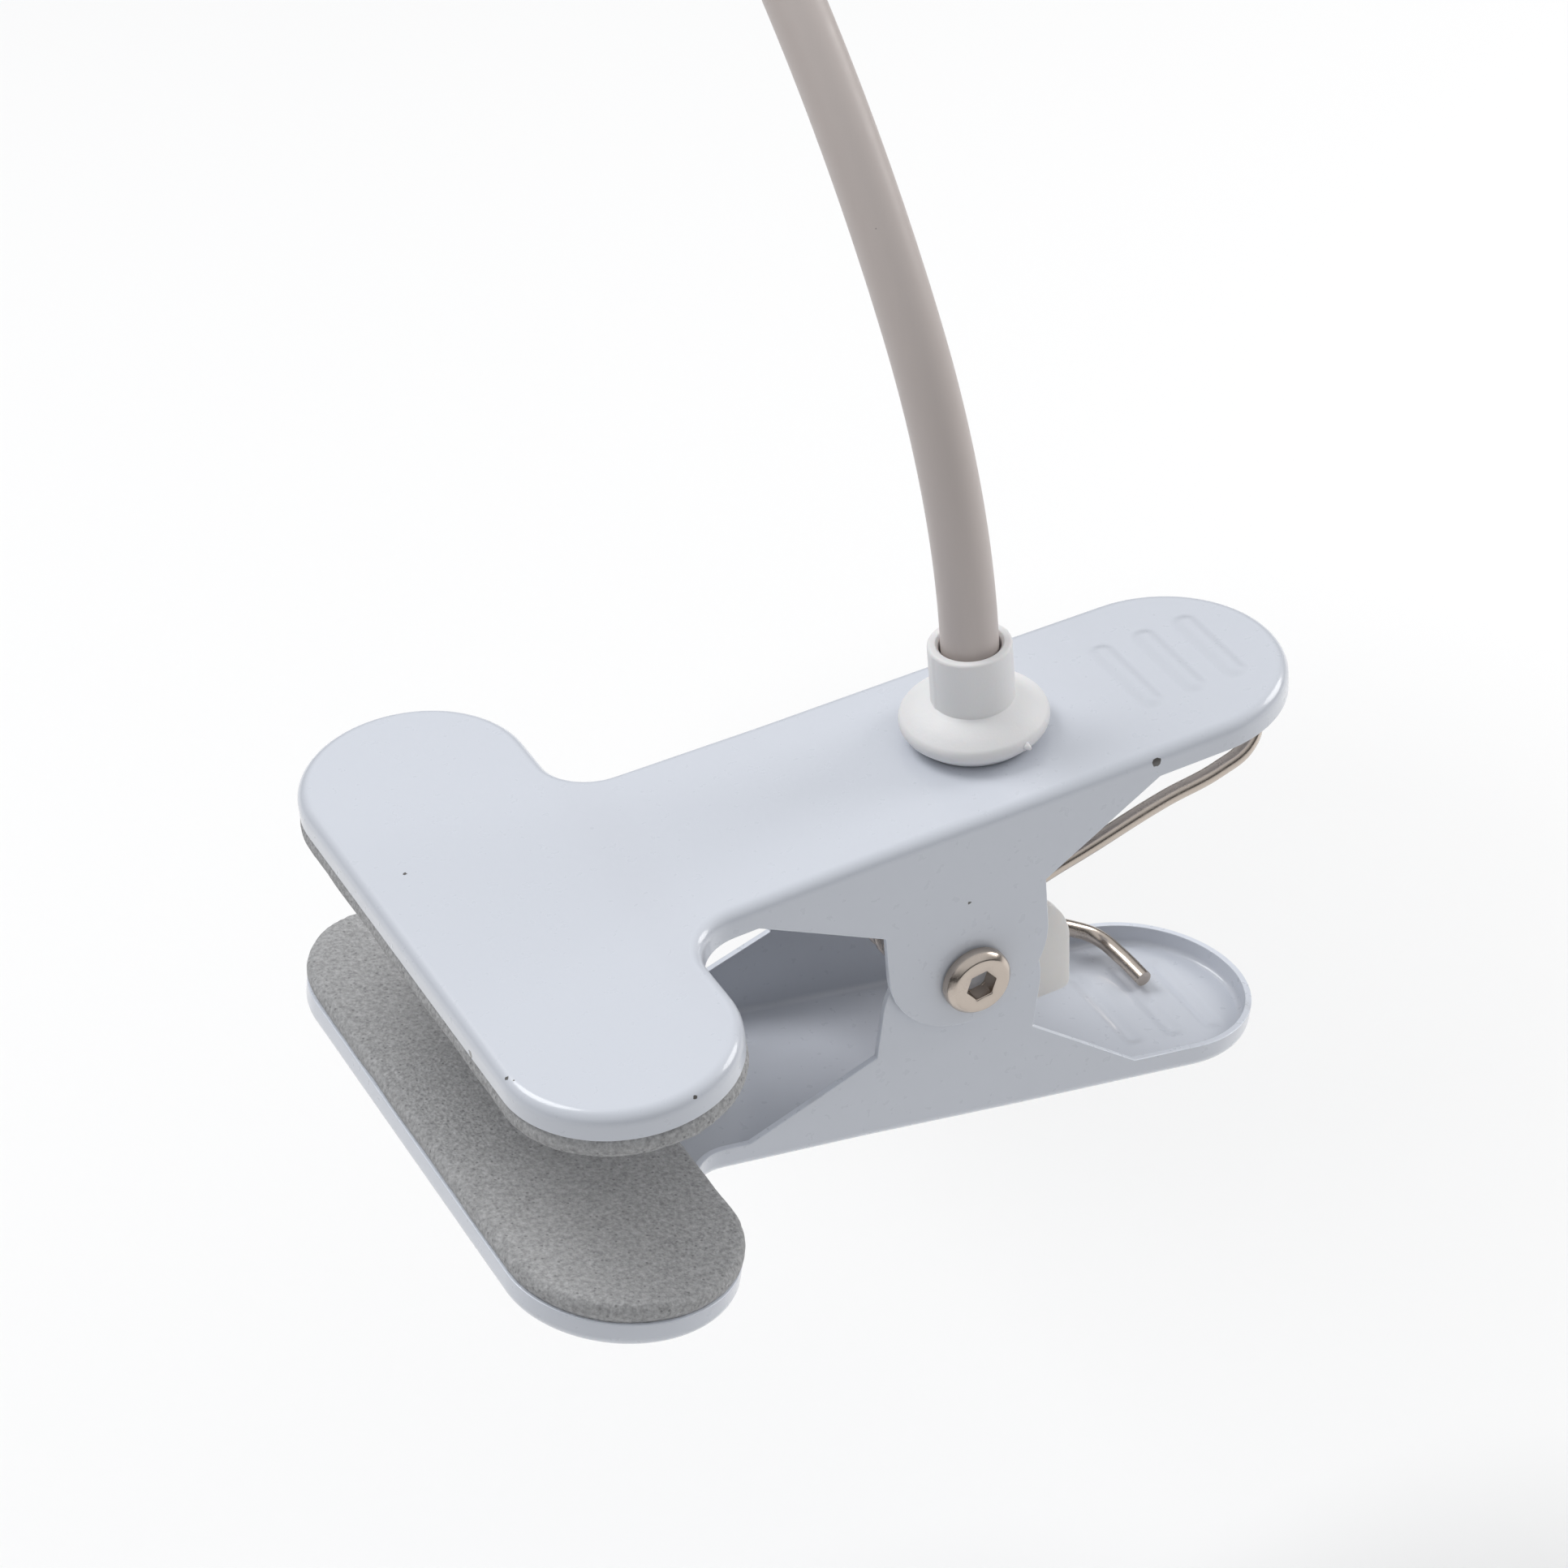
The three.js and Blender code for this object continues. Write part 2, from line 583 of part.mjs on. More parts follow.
const spreaderHole = (x) => rod(1.3, 20, 32, 12).translate(x, 0, 0);
add(lamp, 'heat_spreader', cut(rod(20.4, 27.3, 28.7, 36), spreaderHole(10.5), spreaderHole(-10.5)), aluminium);
add(lamp, 'led_board', cut(rod(13.5, 29, 30.1, 28), spreaderHole(10.5), spreaderHole(-10.5)), white);
add(lamp, 'led_board_screw_1', smallScrew(30.4).translate(10.5, 0, 0), nickel);
add(lamp, 'led_board_screw_2', smallScrew(30.4).translate(-10.5, 0, 0), nickel);
add(lamp, 'led_chip', turned([[0, 30.4], [5.6, 30.4], [5.6, 31], [5.2, 31.3], [0, 31.3]], 24), yellow);
add(lamp, 'reflector', turned([
  [6.6, 31.1], [7.5, 31.1], [9.4, 34.4], [12.6, 38.6], [17.2, 42.6], [18.6, 42.6], [18.6, 43.4],
  [16.6, 43.4], [11.8, 39.2], [8.6, 34.8],
], 36), silver);
add(lamp, 'lens_gasket', turned([[17.3, 43.7], [18.7, 43.7], [18.7, 44.7], [17.3, 44.7]], 32), black);
add(lamp, 'head_lens', turned([
  [0, 45], [18.7, 45], [18.7, 47.1], [17.2, 47.1], [16.6, 47.9], [10, 48.7], [0, 48.9],
], 36), frosted);
add(lamp, 'head_bezel', turned([
  [19, 36.5], [20.4, 36.5], [20.4, 42.3], [LAMP_R, 42.3], [LAMP_R, 48.2], [21.2, 49.2], [17.9, 49.2],
  [17.5, 48.6], [17.5, 47.4], [19, 47.4],
], 44), paint);

export default group;
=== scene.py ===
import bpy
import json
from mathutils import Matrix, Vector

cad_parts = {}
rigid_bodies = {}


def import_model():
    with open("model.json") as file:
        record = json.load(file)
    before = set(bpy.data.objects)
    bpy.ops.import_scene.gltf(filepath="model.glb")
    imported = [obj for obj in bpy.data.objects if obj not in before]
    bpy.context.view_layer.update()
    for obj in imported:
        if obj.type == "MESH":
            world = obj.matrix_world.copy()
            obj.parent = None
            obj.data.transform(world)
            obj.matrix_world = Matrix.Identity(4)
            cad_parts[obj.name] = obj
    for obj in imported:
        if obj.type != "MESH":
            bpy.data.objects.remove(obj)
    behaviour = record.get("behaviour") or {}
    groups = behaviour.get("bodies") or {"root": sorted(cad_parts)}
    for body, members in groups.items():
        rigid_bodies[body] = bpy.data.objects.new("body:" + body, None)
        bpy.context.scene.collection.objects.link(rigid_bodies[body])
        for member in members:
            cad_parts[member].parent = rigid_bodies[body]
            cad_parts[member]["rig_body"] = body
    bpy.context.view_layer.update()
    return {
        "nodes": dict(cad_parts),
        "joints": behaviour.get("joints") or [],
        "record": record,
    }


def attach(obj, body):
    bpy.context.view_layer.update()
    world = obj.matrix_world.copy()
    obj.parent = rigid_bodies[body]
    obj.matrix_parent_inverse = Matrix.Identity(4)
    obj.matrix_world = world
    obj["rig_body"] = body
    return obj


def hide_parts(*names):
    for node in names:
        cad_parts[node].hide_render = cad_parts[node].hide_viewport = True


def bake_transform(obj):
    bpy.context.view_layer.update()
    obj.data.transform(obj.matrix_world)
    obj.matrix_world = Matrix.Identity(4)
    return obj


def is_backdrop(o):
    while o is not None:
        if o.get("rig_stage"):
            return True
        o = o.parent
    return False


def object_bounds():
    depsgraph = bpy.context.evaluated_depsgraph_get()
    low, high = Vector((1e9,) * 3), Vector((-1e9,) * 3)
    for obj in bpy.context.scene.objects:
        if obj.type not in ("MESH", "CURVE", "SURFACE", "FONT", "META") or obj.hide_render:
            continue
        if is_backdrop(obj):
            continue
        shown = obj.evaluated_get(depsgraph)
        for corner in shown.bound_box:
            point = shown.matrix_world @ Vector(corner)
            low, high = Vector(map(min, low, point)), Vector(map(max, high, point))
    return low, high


bl_info = {
    "name": "Clip-On Reading Lamp",
    "version": (1, 0, 0),
    "blender": (4, 5, 0),
    "location": "3D View > Sidebar > Reading Lamp",
    "description": "Builds a clip-on reading lamp with a bendable neck round its packed frame",
    "category": "Object",
}

import json
import math

import bmesh
import bpy
from bpy.props import FloatProperty, FloatVectorProperty, IntProperty, PointerProperty
from mathutils import Matrix, Quaternion, Vector, noise

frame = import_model()
MM = 0.001
WELD = 2e-6
AXIS = 0.0005  # a turned outline keeps this far off its axis, in millimetres
PIVOT = Vector(next(j["pos_m"] for j in frame["joints"] if j["name"] == "clip_hinge"))
UP = Vector((0, 0, 1))
QUARTERS = ((1, 1), (-1, 1), (-1, -1), (1, -1))


# ---- sizes and colours a user would change ------------------------------------------------


def length(name, description, millimetres):
    return FloatProperty(
        name=name, description=description, default=millimetres * MM, unit="LENGTH", precision=5
    )


def angle(name, description, degrees):
    return FloatProperty(
        name=name, description=description, default=math.radians(degrees), subtype="ANGLE"
    )


def colour(name, description, value):
    return FloatVectorProperty(
        name=name, description=description, default=value, subtype="COLOR", min=0, max=1
    )


class LampClipSizes(bpy.types.PropertyGroup):
    sheet: length("Sheet", "Thickness of the pressed steel", 0.9)
    bend: length("Bend", "Outer radius of the folded edge", 1.7)
    skirt: length("Skirt", "Height of the folded edge", 3.6)
    jaw_half: length("Jaw Half", "Half the length of the jaw across the clip", 44)
    jaw_r: length("Jaw Radius", "Half the width of the jaw and the radius of its ends", 14.75)
    fillet: length("Fillet", "Radius of the corner between jaw and strip", 6.5)
    strip_half: length("Strip Half", "Half the width of the upper lever's strip", 16.3)
    nesting: length("Nesting", "How much narrower the lower strip is on each side", 1.15)
    flare: length("Flare", "How much the strip widens towards the jaw", 0.5)
    handle_x: length("Handle", "Centre of the handle's round end", 89.6)
    cheek_start: length("Cheek Start", "Where the pivot cheek starts", 41.15)
    cheek_end: length("Cheek End", "Where the pivot cheek ends", 63.35)
    shoulder: length("Shoulder", "Depth at which the cheeks start", 12.6)
    cheek_depth: length("Cheek Depth", "Depth of the centre of the cheek's round end", 19)
    slope_start: length("Slope Start", "Where the folded edge starts to deepen", 24.5)
    slope_end: length("Slope End", "Where the folded edge is shallow again", 79.9)
    pivot_drop: length("Pivot Drop", "From a lever's flat face to the pivot", 23.2)
    spread: angle("Spread", "Angle between the levers as clamped", 11.6)
    rib_rise: length("Rib Rise", "How far the finger ribs stand up", 0.38)
    pad_stands: length("Pad Stands", "How far a pad stands out of the folded edge", 2.7)
    pad_inset: length("Pad Inset", "How far a pad's side stands inside the jaw", 0.15)
    gap: length("Gap", "Clearance between neighbouring pieces", 0.3)
    screw_r: length("Screw Head Radius", "Radius of the pivot screw's head", 4.5)
    socket_flats: length("Socket", "Width of the pivot screw's hex socket", 3.6)


class LampSpringSizes(bpy.types.PropertyGroup):
    wire: length("Wire", "Diameter of the spring wire", 2.2)
    coil_r: length("Coil Radius", "Radius of the coil's centre line", 5.6)
    coil_half: length("Coil Half", "Half the length of the coil", 8)
    turns: IntProperty(name="Turns", description="Whole turns of the coil", default=6)
    start: angle("Start", "Direction in which the coil starts", 106.5)
    end: angle("End", "Direction in which the coil ends", 238)


class LampNeckSizes(bpy.types.PropertyGroup):
    place_x: length("Place", "Where the neck stands on the upper lever", 63.0)
    radius: length("Radius", "Radius of the neck's sleeve", 3.6)
    plane: angle("Plane", "Direction in which the neck leans", 88.6)
    straight_to: length("Straight To", "Height at which the neck starts to bend", 22)
    low_r: length("Lower Bend", "Radius of the lower bend", 68.6)
    low_turn: angle("Lower Turn", "Angle of the lower bend", 32)
    middle_r: length("Middle Bend", "Radius of the middle bend", 142)
    middle_turn: angle("Middle Turn", "Angle of the middle bend", 20)
    high_r: length("Upper Bend", "Radius of the upper bend", 107)
    high_turn: angle("Upper Turn", "Angle of the upper bend", 73)
    links: IntProperty(name="Links", description="Links that the neck bends at", default=10)
    rooted: length("Rooted", "How far the neck goes into its collar", 6)
    tip: length("Tip", "Length of the neck past its bends", 6)


class LampHeadSizes(bpy.types.PropertyGroup):
    set_off: length("Set-Off", "From the neck's tip to the head's rear face", 4)
    radius: length("Radius", "Radius of the head", 22)
    shoulder: length("Shoulder", "Radius of the head's rear edge", 7)
    depth: length("Depth", "Depth of the casing", 42)
    front: length("Front", "Where the bezel ends", 49.2)
    offset: length("Offset", "Of the button and the inlet from the axis", 10.6)
    button_r: length("Button Radius", "Radius of the push button", 3.6)
    button_proud: length("Button Proud", "How far the button stands out", 1.6)
    lens_r: length("Lens Radius", "Radius of the front cover", 18.7)


class LampColours(bpy.types.PropertyGroup):
    enamel: colour("Enamel", "Pale blue-grey gloss enamel", (0.640, 0.668, 0.730))
    primer: colour("Primer", "Bare steel and primer where the enamel has chipped", (0.10, 0.095, 0.09))
    foam: colour("Foam", "Grey closed-cell foam", (0.42, 0.42, 0.425))
    nickel: colour("Nickel", "Bright nickel plate", (0.56, 0.49, 0.43))
    nylon: colour("Nylon", "Natural nylon", (0.84, 0.82, 0.80))
    white: colour("White Plastic", "Satin white plastic", (0.84, 0.835, 0.84))
    sleeve: colour("Sleeve", "Warm light grey sleeve of the neck", (0.56, 0.50, 0.475))
    floor: colour("Floor", "Pale floor", (0.93, 0.925, 0.92))


GROUPS = {
    "lamp_clip": LampClipSizes,
    "lamp_spring": LampSpringSizes,
    "lamp_neck": LampNeckSizes,
    "lamp_head": LampHeadSizes,
    "lamp_colours": LampColours,
}


# ---- finishes -----------------------------------------------------------------------------


def sizes(kind):
    return getattr(bpy.context.scene, kind)


def solid(tint, share=1.0):
    """The tint as an opaque colour, brighter or darker by share."""
    return (*[min(1.0, v * share) for v in tint], 1.0)


class Finish:
    """A material being put together round one Principled shader, on Object coordinates."""

    def __init__(self, name, base, roughness, metallic=0.0):
        self.material = bpy.data.materials.new(name)
        self.material.use_nodes = True
        self.tree = self.material.node_tree
        self.shader = self.tree.nodes["Principled BSDF"]
        self.base = (*base, 1.0)
        self.set("Base Color", self.base)
        self.set("Roughness", roughness)
        self.set("Metallic", metallic)
        self.place = self.add("ShaderNodeTexCoord").outputs["Object"]
        self.normal = None

    def set(self, socket, value):
        self.shader.inputs[socket].default_value = value

    def add(self, kind, settings=(), **inputs):
        node = self.tree.nodes.new(kind)
        for key, value in dict(settings).items():
            setattr(node, key, value)
        for key, value in inputs.items():
            self.feed(node.inputs[key.replace("_", " ")], value)
        return node

    def feed(self, socket, value):
        if isinstance(value, bpy.types.NodeSocket):
            self.tree.links.new(value, socket)
        else:
            socket.default_value = value

    def stretched(self, x, y, z):
        node = self.add("ShaderNodeMapping", Vector=self.place)
        node.inputs["Scale"].default_value = (x, y, z)
        return node.outputs["Vector"]

    def grain(self, scale, detail=2.0, roughness=0.5, vector=None):
        """Soft noise, from 0 to 1."""
        node = self.add("ShaderNodeTexNoise", Vector=vector or self.place, Scale=scale)
        node.inputs["Detail"].default_value = detail
        node.inputs["Roughness"].default_value = roughness
        return node.outputs["Fac"]

    def cells(self, scale):
        """Distance to the middle of each cell."""
        node = self.add("ShaderNodeTexVoronoi", Vector=self.place, Scale=scale)
        return node.outputs["Distance"]

    def span(self, value, low, high, to_low=0.0, to_high=1.0):
        node = self.add("ShaderNodeMapRange", {"clamp": True})
        for name, given in (
            ("Value", value), ("From Min", low), ("From Max", high), ("To Min", to_low),
            ("To Max", to_high),
        ):
            self.feed(node.inputs[name], given)
        return node.outputs["Result"]

    def maths(self, operation, a, b):
        node = self.add("ShaderNodeMath", {"operation": operation})
        self.feed(node.inputs[0], a)
        self.feed(node.inputs[1], b)
        return node.outputs[0]

    def blend(self, share, a, b):
        node = self.add("ShaderNodeMix", {"data_type": "RGBA"})
        self.feed(node.inputs["Factor"], share)
        self.feed(node.inputs["A"], a)
        self.feed(node.inputs["B"], b)
        return node.outputs["Result"]

    def shades(self, share, spread):
        """The base colour, darker by spread where share is 0 and lighter where it is 1."""
        tint = self.base[:3]
        return self.blend(share, solid(tint, 1 - spread), solid(tint, 1 + spread))

    def near(self, points, radius, ragged):
        """1 within a ragged spot of that radius round each point, else 0."""
        edge = self.maths("MULTIPLY", self.grain(1500, 3, 0.7), ragged)
        mask = None
        for point, share in points:
            node = self.add("ShaderNodeVectorMath", {"operation": "DISTANCE"})
            self.feed(node.inputs[0], self.place)
            node.inputs[1].default_value = point
            far = self.maths("ADD", node.outputs["Value"], edge)
            spot = self.maths("LESS_THAN", far, radius * share + ragged * 0.5)
            mask = spot if mask is None else self.maths("MAXIMUM", mask, spot)
        return mask

    def bump(self, height, strength, depth):
        node = self.add("ShaderNodeBump", Height=height, Strength=strength, Distance=depth)
        if self.normal:
            self.feed(node.inputs["Normal"], self.normal)
        self.normal = node.outputs["Normal"]
        self.feed(self.shader.inputs["Normal"], self.normal)

    def colour(self, socket):
        self.feed(self.shader.inputs["Base Color"], socket)

    def rough(self, share, low, high):
        self.feed(self.shader.inputs["Roughness"], self.span(share, 0.25, 0.75, low, high))

    def skin(self, tone, rough, *bumps):
        """Plain noise all over, each row starting with its scale and detail: then the
        tone's spread, the roughness's limits, and each bump's strength and depth."""
        self.colour(self.shades(self.grain(*tone[:2]), tone[2]))
        self.rough(self.grain(*rough[:2]), *rough[2:])
        for scale, detail, strength, depth in bumps:
            self.bump(self.grain(scale, detail), strength, depth)


def enamel(name="gloss_enamel", chips=()):
    """Gloss enamel with a faint orange peel and the chips given."""
    c = sizes("lamp_colours")
    f = Finish(name, c.enamel, 0.3)
    f.set("Coat Weight", 0.55)
    f.set("Coat Roughness", 0.09)
    f.set("Specular IOR Level", 0.45)
    tone = f.shades(f.grain(420, 3), 0.003)
    f.rough(f.grain(700, 3), 0.26, 0.34)
    f.bump(f.grain(900, 1), 0.06, 0.00006)
    if chips:
        bare = f.near(chips, 0.0006, 0.0007)
        tone = f.blend(bare, tone, solid(c.primer))
        f.bump(f.maths("MULTIPLY", bare, -1.0), 0.5, 0.0001)
    f.colour(tone)
    return f.material


def sheared_edge():
    """The sheet's sheared edge: thin enamel over bright steel."""
    paint = sizes("lamp_colours").enamel
    f = Finish("sheared_edge", paint, 0.3, 0.1)
    lines = f.grain(900, 3, vector=f.stretched(1, 1, 0.12))
    worn = f.span(f.grain(140, 3), 0.6, 0.8, 0.0, 0.35)
    f.colour(f.blend(worn, solid(paint, 1.2), (0.42, 0.41, 0.40, 1.0)))
    f.rough(lines, 0.22, 0.45)
    f.bump(lines, 0.3, 0.00008)
    return f.material


def foam():
    """Fine closed-cell foam, speckled, with open-cell pores on its cut sides, their darkness painted
    shade in small dark dots.
    """
    grey = sizes("lamp_colours").foam
    f = Finish("closed_cell_foam", grey, 0.95)
    f.set("Specular IOR Level", 0.25)
    cells = f.cells(2300)
    speck = f.span(f.grain(1700, 4, 0.7), 0.35, 0.68)
    tone = f.blend(speck, solid(grey, 0.72), solid(grey, 1.24))
    # painted shade: small dark dots at the cell centres stand for the shade inside the foam's open
    # pores
    pits = f.span(f.cells(900), 0.1, 0.2)
    f.colour(f.blend(pits, solid(grey, 0.6), tone))
    f.rough(f.grain(300, 2), 0.9, 1.0)
    f.bump(cells, 0.55, 0.00025)
    f.bump(f.grain(500, 4), 0.35, 0.0003)
    return f.material


def nickel():
    """Bright nickel plate with fine tool or drawing marks."""
    f = Finish("bright_nickel", sizes("lamp_colours").nickel, 0.22, 1.0)
    marks = f.grain(1500, 4, 0.6)
    haze = f.grain(140, 3)
    f.colour(f.shades(haze, 0.06))
    both = f.maths("ADD", f.maths("MULTIPLY", marks, 0.5), f.maths("MULTIPLY", haze, 0.5))
    f.rough(both, 0.14, 0.34)
    f.bump(marks, 0.12, 0.00006)
    return f.material


def nylon():
    """Natural nylon: milky, slightly see-through, with a moulded grain."""
    f = Finish("natural_nylon", sizes("lamp_colours").nylon, 0.42)
    f.set("Subsurface Weight", 0.35)
    f.set("Subsurface Scale", 0.0025)
    f.set("Subsurface Radius", (1.0, 0.8, 0.65))
    f.skin((220, 3, 0.03), (500, 2, 0.36, 0.5), (1200, 3, 0.12, 0.0001))
    return f.material


def white_plastic():
    """Satin moulded plastic with a fine spark-eroded grain."""
    f = Finish("satin_white_plastic", sizes("lamp_colours").white, 0.5)
    f.set("Subsurface Weight", 0.08)
    f.set("Subsurface Scale", 0.001)
    f.colour(f.shades(f.grain(150, 3), 0.015))
    f.rough(f.grain(600, 3), 0.44, 0.58)
    f.bump(f.grain(1500, 3, 0.6), 0.22, 0.00012)
    f.bump(f.grain(110, 1), 0.12, 0.0004)
    return f.material


def neck_sleeve():
    """Smooth soft sleeve, satin, with the faintest long waves and a few specks."""
    grey = sizes("lamp_colours").sleeve
    f = Finish("neck_sleeve", grey, 0.42)
    f.set("Specular IOR Level", 0.4)
    f.set("Sheen Weight", 0.08)
    f.set("Sheen Roughness", 0.5)
    tone = f.shades(f.grain(70, 3), 0.02)
    speck = f.maths("LESS_THAN", f.cells(260), 0.03)
    few = f.maths("MULTIPLY", speck, f.span(f.grain(120, 1), 0.55, 0.58))
    f.colour(f.blend(few, tone, solid(grey, 0.6)))
    f.rough(f.grain(420, 3), 0.36, 0.5)
    f.bump(f.grain(900, 3), 0.08, 0.0001)
    f.bump(f.grain(120, 2), 0.14, 0.0004)
    return f.material


def aluminium():
    """Turned aluminium with fine rings and handling haze."""
    f = Finish("turned_aluminium", (0.76, 0.77, 0.79), 0.38, 1.0)
    f.skin((180, 3, 0.05), (800, 4, 0.28, 0.5))
    f.bump(f.grain(2200, 3, vector=f.stretched(1, 1, 0.2)), 0.15, 0.0001)
    return f.material


def frosted_lens():
    """Frosted cover with small moulded pyramids that spread the light."""
    f = Finish("frosted_cover", (0.92, 0.92, 0.90), 0.4)
    f.set("Transmission Weight", 0.35)
    f.set("IOR", 1.49)
    f.set("Subsurface Weight", 0.2)
    f.set("Subsurface Scale", 0.002)
    f.skin((90, 2, 0.01), (700, 3, 0.34, 0.5))
    f.bump(f.cells(720), 0.4, 0.00035)
    return f.material


def circuit_board():
    """Green solder mask over copper tracks, with bright pads."""
    f = Finish("circuit_board", (0.03, 0.16, 0.07), 0.35)
    wave = f.add("ShaderNodeTexWave", Vector=f.place, Scale=160, Distortion=7, Detail=0)
    track = f.span(wave.outputs["Fac"], 0.44, 0.5)
    pad = f.maths("LESS_THAN", f.cells(330), 0.2)
    tone = f.blend(track, (0.02, 0.11, 0.05, 1.0), (0.05, 0.24, 0.11, 1.0))
    f.colour(f.blend(pad, tone, (0.75, 0.74, 0.70, 1.0)))
    f.rough(f.grain(600, 2), 0.28, 0.42)
    f.bump(track, 0.3, 0.0001)
    return f.material


def black_plastic():
    """Moulded black plastic with a light grain."""
    f = Finish("moulded_black_plastic", (0.03, 0.03, 0.033), 0.5)
    f.skin((300, 3, 0.15), (700, 3, 0.42, 0.6), (1600, 3, 0.25, 0.0001))
    return f.material


def phosphor():
    """Cast yellow phosphor with tiny grains under its skin."""
    f = Finish("cast_phosphor", (0.80, 0.55, 0.08), 0.45)
    f.set("Subsurface Weight", 0.2)
    f.set("Subsurface Scale", 0.0008)
    f.skin((2600, 3, 0.12), (900, 2, 0.35, 0.5), (1800, 2, 0.15, 0.0001))
    return f.material


def mirror_coating():
    """Vacuum-coated reflector with a faint orange peel."""
    f = Finish("mirror_coating", (0.88, 0.88, 0.89), 0.08, 1.0)
    f.skin((120, 2, 0.02), (200, 3, 0.05, 0.14), (300, 1, 0.1, 0.0002))
    return f.material


def cell_wrap():
    """Blue shrink wrap with soft wrinkles."""
    f = Finish("cell_wrap", (0.04, 0.12, 0.26), 0.32)
    f.set("Coat Weight", 0.4)
    f.set("Coat Roughness", 0.15)
    f.skin((90, 3, 0.08), (250, 3, 0.25, 0.42))
    f.bump(f.grain(180, 3, vector=f.stretched(1, 1, 3)), 0.3, 0.0004)
    return f.material


MADE = {}


def finish(make):
    """Each finish is made once and shared."""
    if make not in MADE:
        MADE[make] = make()
    return MADE[make]


# ---- making and finishing pieces ----------------------------------------------------------


def made_of(result, kind):
    return [g for g in result if isinstance(g, kind)]


def polygon(bm, points):
    """A flat face through the points given, which have only the shape's own corners."""
    corners = [bm.verts.new(p) for p in points]
    bm.faces.new(corners)
    return corners


def round_off(bm, geom, radius, segments, affect):
    bmesh.ops.bevel(
        bm,
        geom=geom,
        offset=radius,
        offset_type="OFFSET",
        segments=segments,
        profile=0.5,
        affect=affect,
        material=-1,
        clamp_overlap=False,
    )


def round_corners(bm, corners, radius, segments):
    """Rounds corners of a flat outline, a touch under the radius so that arcs can meet."""
    round_off(bm, corners, radius * 0.999, segments, "VERTICES")


def pull(bm, edges, matrix):
    """Extrudes the edges, moves the new ones by matrix and returns them."""
    made = bmesh.ops.extrude_edge_only(bm, edges=edges)["geom"]
    verts = set(made_of(made, bmesh.types.BMVert))
    bmesh.ops.transform(bm, matrix=matrix, verts=list(verts))
    return [e for e in bm.edges if e.verts[0] in verts and e.verts[1] in verts]


def slice_faces(bm, faces, place, across):
    geom = set(faces)
    for face in faces:
        geom.update(face.edges)
        geom.update(face.verts)
    bmesh.ops.bisect_plane(bm, geom=list(geom), dist=1e-7, plane_co=place, plane_no=across)


def thicken(bm, depth):
    """Makes a closed slab of the flat faces in bm, depth along Z."""
    made = bmesh.ops.extrude_face_region(bm, geom=bm.faces[:] + bm.edges[:] + bm.verts[:])["geom"]
    bmesh.ops.translate(bm, verts=made_of(made, bmesh.types.BMVert), vec=(0, 0, depth))
    bmesh.ops.recalc_face_normals(bm, faces=bm.faces[:])


def turn(profile, steps=96, rounds=()):
    """Turns a closed outline of (radius, height) round Z. rounds are (corner, radius, segments)."""
    bm = bmesh.new()
    corners = polygon(bm, [(r * MM, 0, z * MM) for r, z in profile])
    for corner, radius, segments in rounds:
        round_corners(bm, [corners[corner]], radius * MM, segments)
    face = bm.faces[:][0]
    ring = list(face.edges)
    bmesh.ops.delete(bm, geom=[face], context="FACES_ONLY")
    bmesh.ops.spin(
        bm,
        geom=ring,
        cent=(0, 0, 0),
        axis=(0, 0, 1),
        dvec=(0, 0, 0),
        angle=math.tau,
        steps=steps,
        use_merge=True,
        use_duplicate=False,
    )
    bmesh.ops.remove_doubles(bm, verts=bm.verts[:], dist=WELD)
    bmesh.ops.recalc_face_normals(bm, faces=bm.faces[:])
    return bm


def as_object(bm, name, materials=()):
    mesh = bpy.data.meshes.new(name)
    bm.to_mesh(mesh)
    bm.free()
    for material in materials:
        mesh.materials.append(material)
    piece = bpy.data.objects.new(name, mesh)
    bpy.context.scene.collection.objects.link(piece)
    return piece


def settle(piece):
    """Makes the piece's modifiers part of its mesh."""
    bpy.context.view_layer.update()
    graph = bpy.context.evaluated_depsgraph_get()
    old = piece.data
    piece.data = bpy.data.meshes.new_from_object(piece.evaluated_get(graph))
    piece.data.name = piece.name
    piece.modifiers.clear()
    bpy.data.meshes.remove(old)


def carve(piece, *cutters, operation="DIFFERENCE"):
    """Cuts the cutters out of the piece, or joins them to it, and removes them."""
    for cutter in cutters:
        boolean = piece.modifiers.new("carve", "BOOLEAN")
        boolean.operation = operation
        boolean.solver = "EXACT"
        boolean.object = cutter
    settle(piece)
    for cutter in cutters:
        bpy.data.objects.remove(cutter)


def rod(radius, low, high, x=0.0, y=0.0, segments=64):
    bm = bmesh.new()
    middle = Matrix.Translation((x * MM, y * MM, (low + high) / 2 * MM))
    bmesh.ops.create_cone(
        bm,
        cap_ends=True,
        segments=segments,
        radius1=radius * MM,
        radius2=radius * MM,
        depth=(high - low) * MM,
        matrix=middle,
    )
    return as_object(bm, "cutter")


def slot_prism(width, depth, low, high, x=0.0, corner=None, name="cutter"):
    """A prism along Z with a rounded rectangle as its section."""
    bm = bmesh.new()
    w, d = width / 2 * MM, depth / 2 * MM
    corners = polygon(bm, [(x * MM + i * w, j * d, low * MM) for i, j in QUARTERS])
    round_corners(bm, corners, (corner or min(width, depth) / 2) * MM, 12)
    bmesh.ops.remove_doubles(bm, verts=bm.verts[:], dist=WELD)
    thicken(bm, (high - low) * MM)
    return as_object(bm, name)


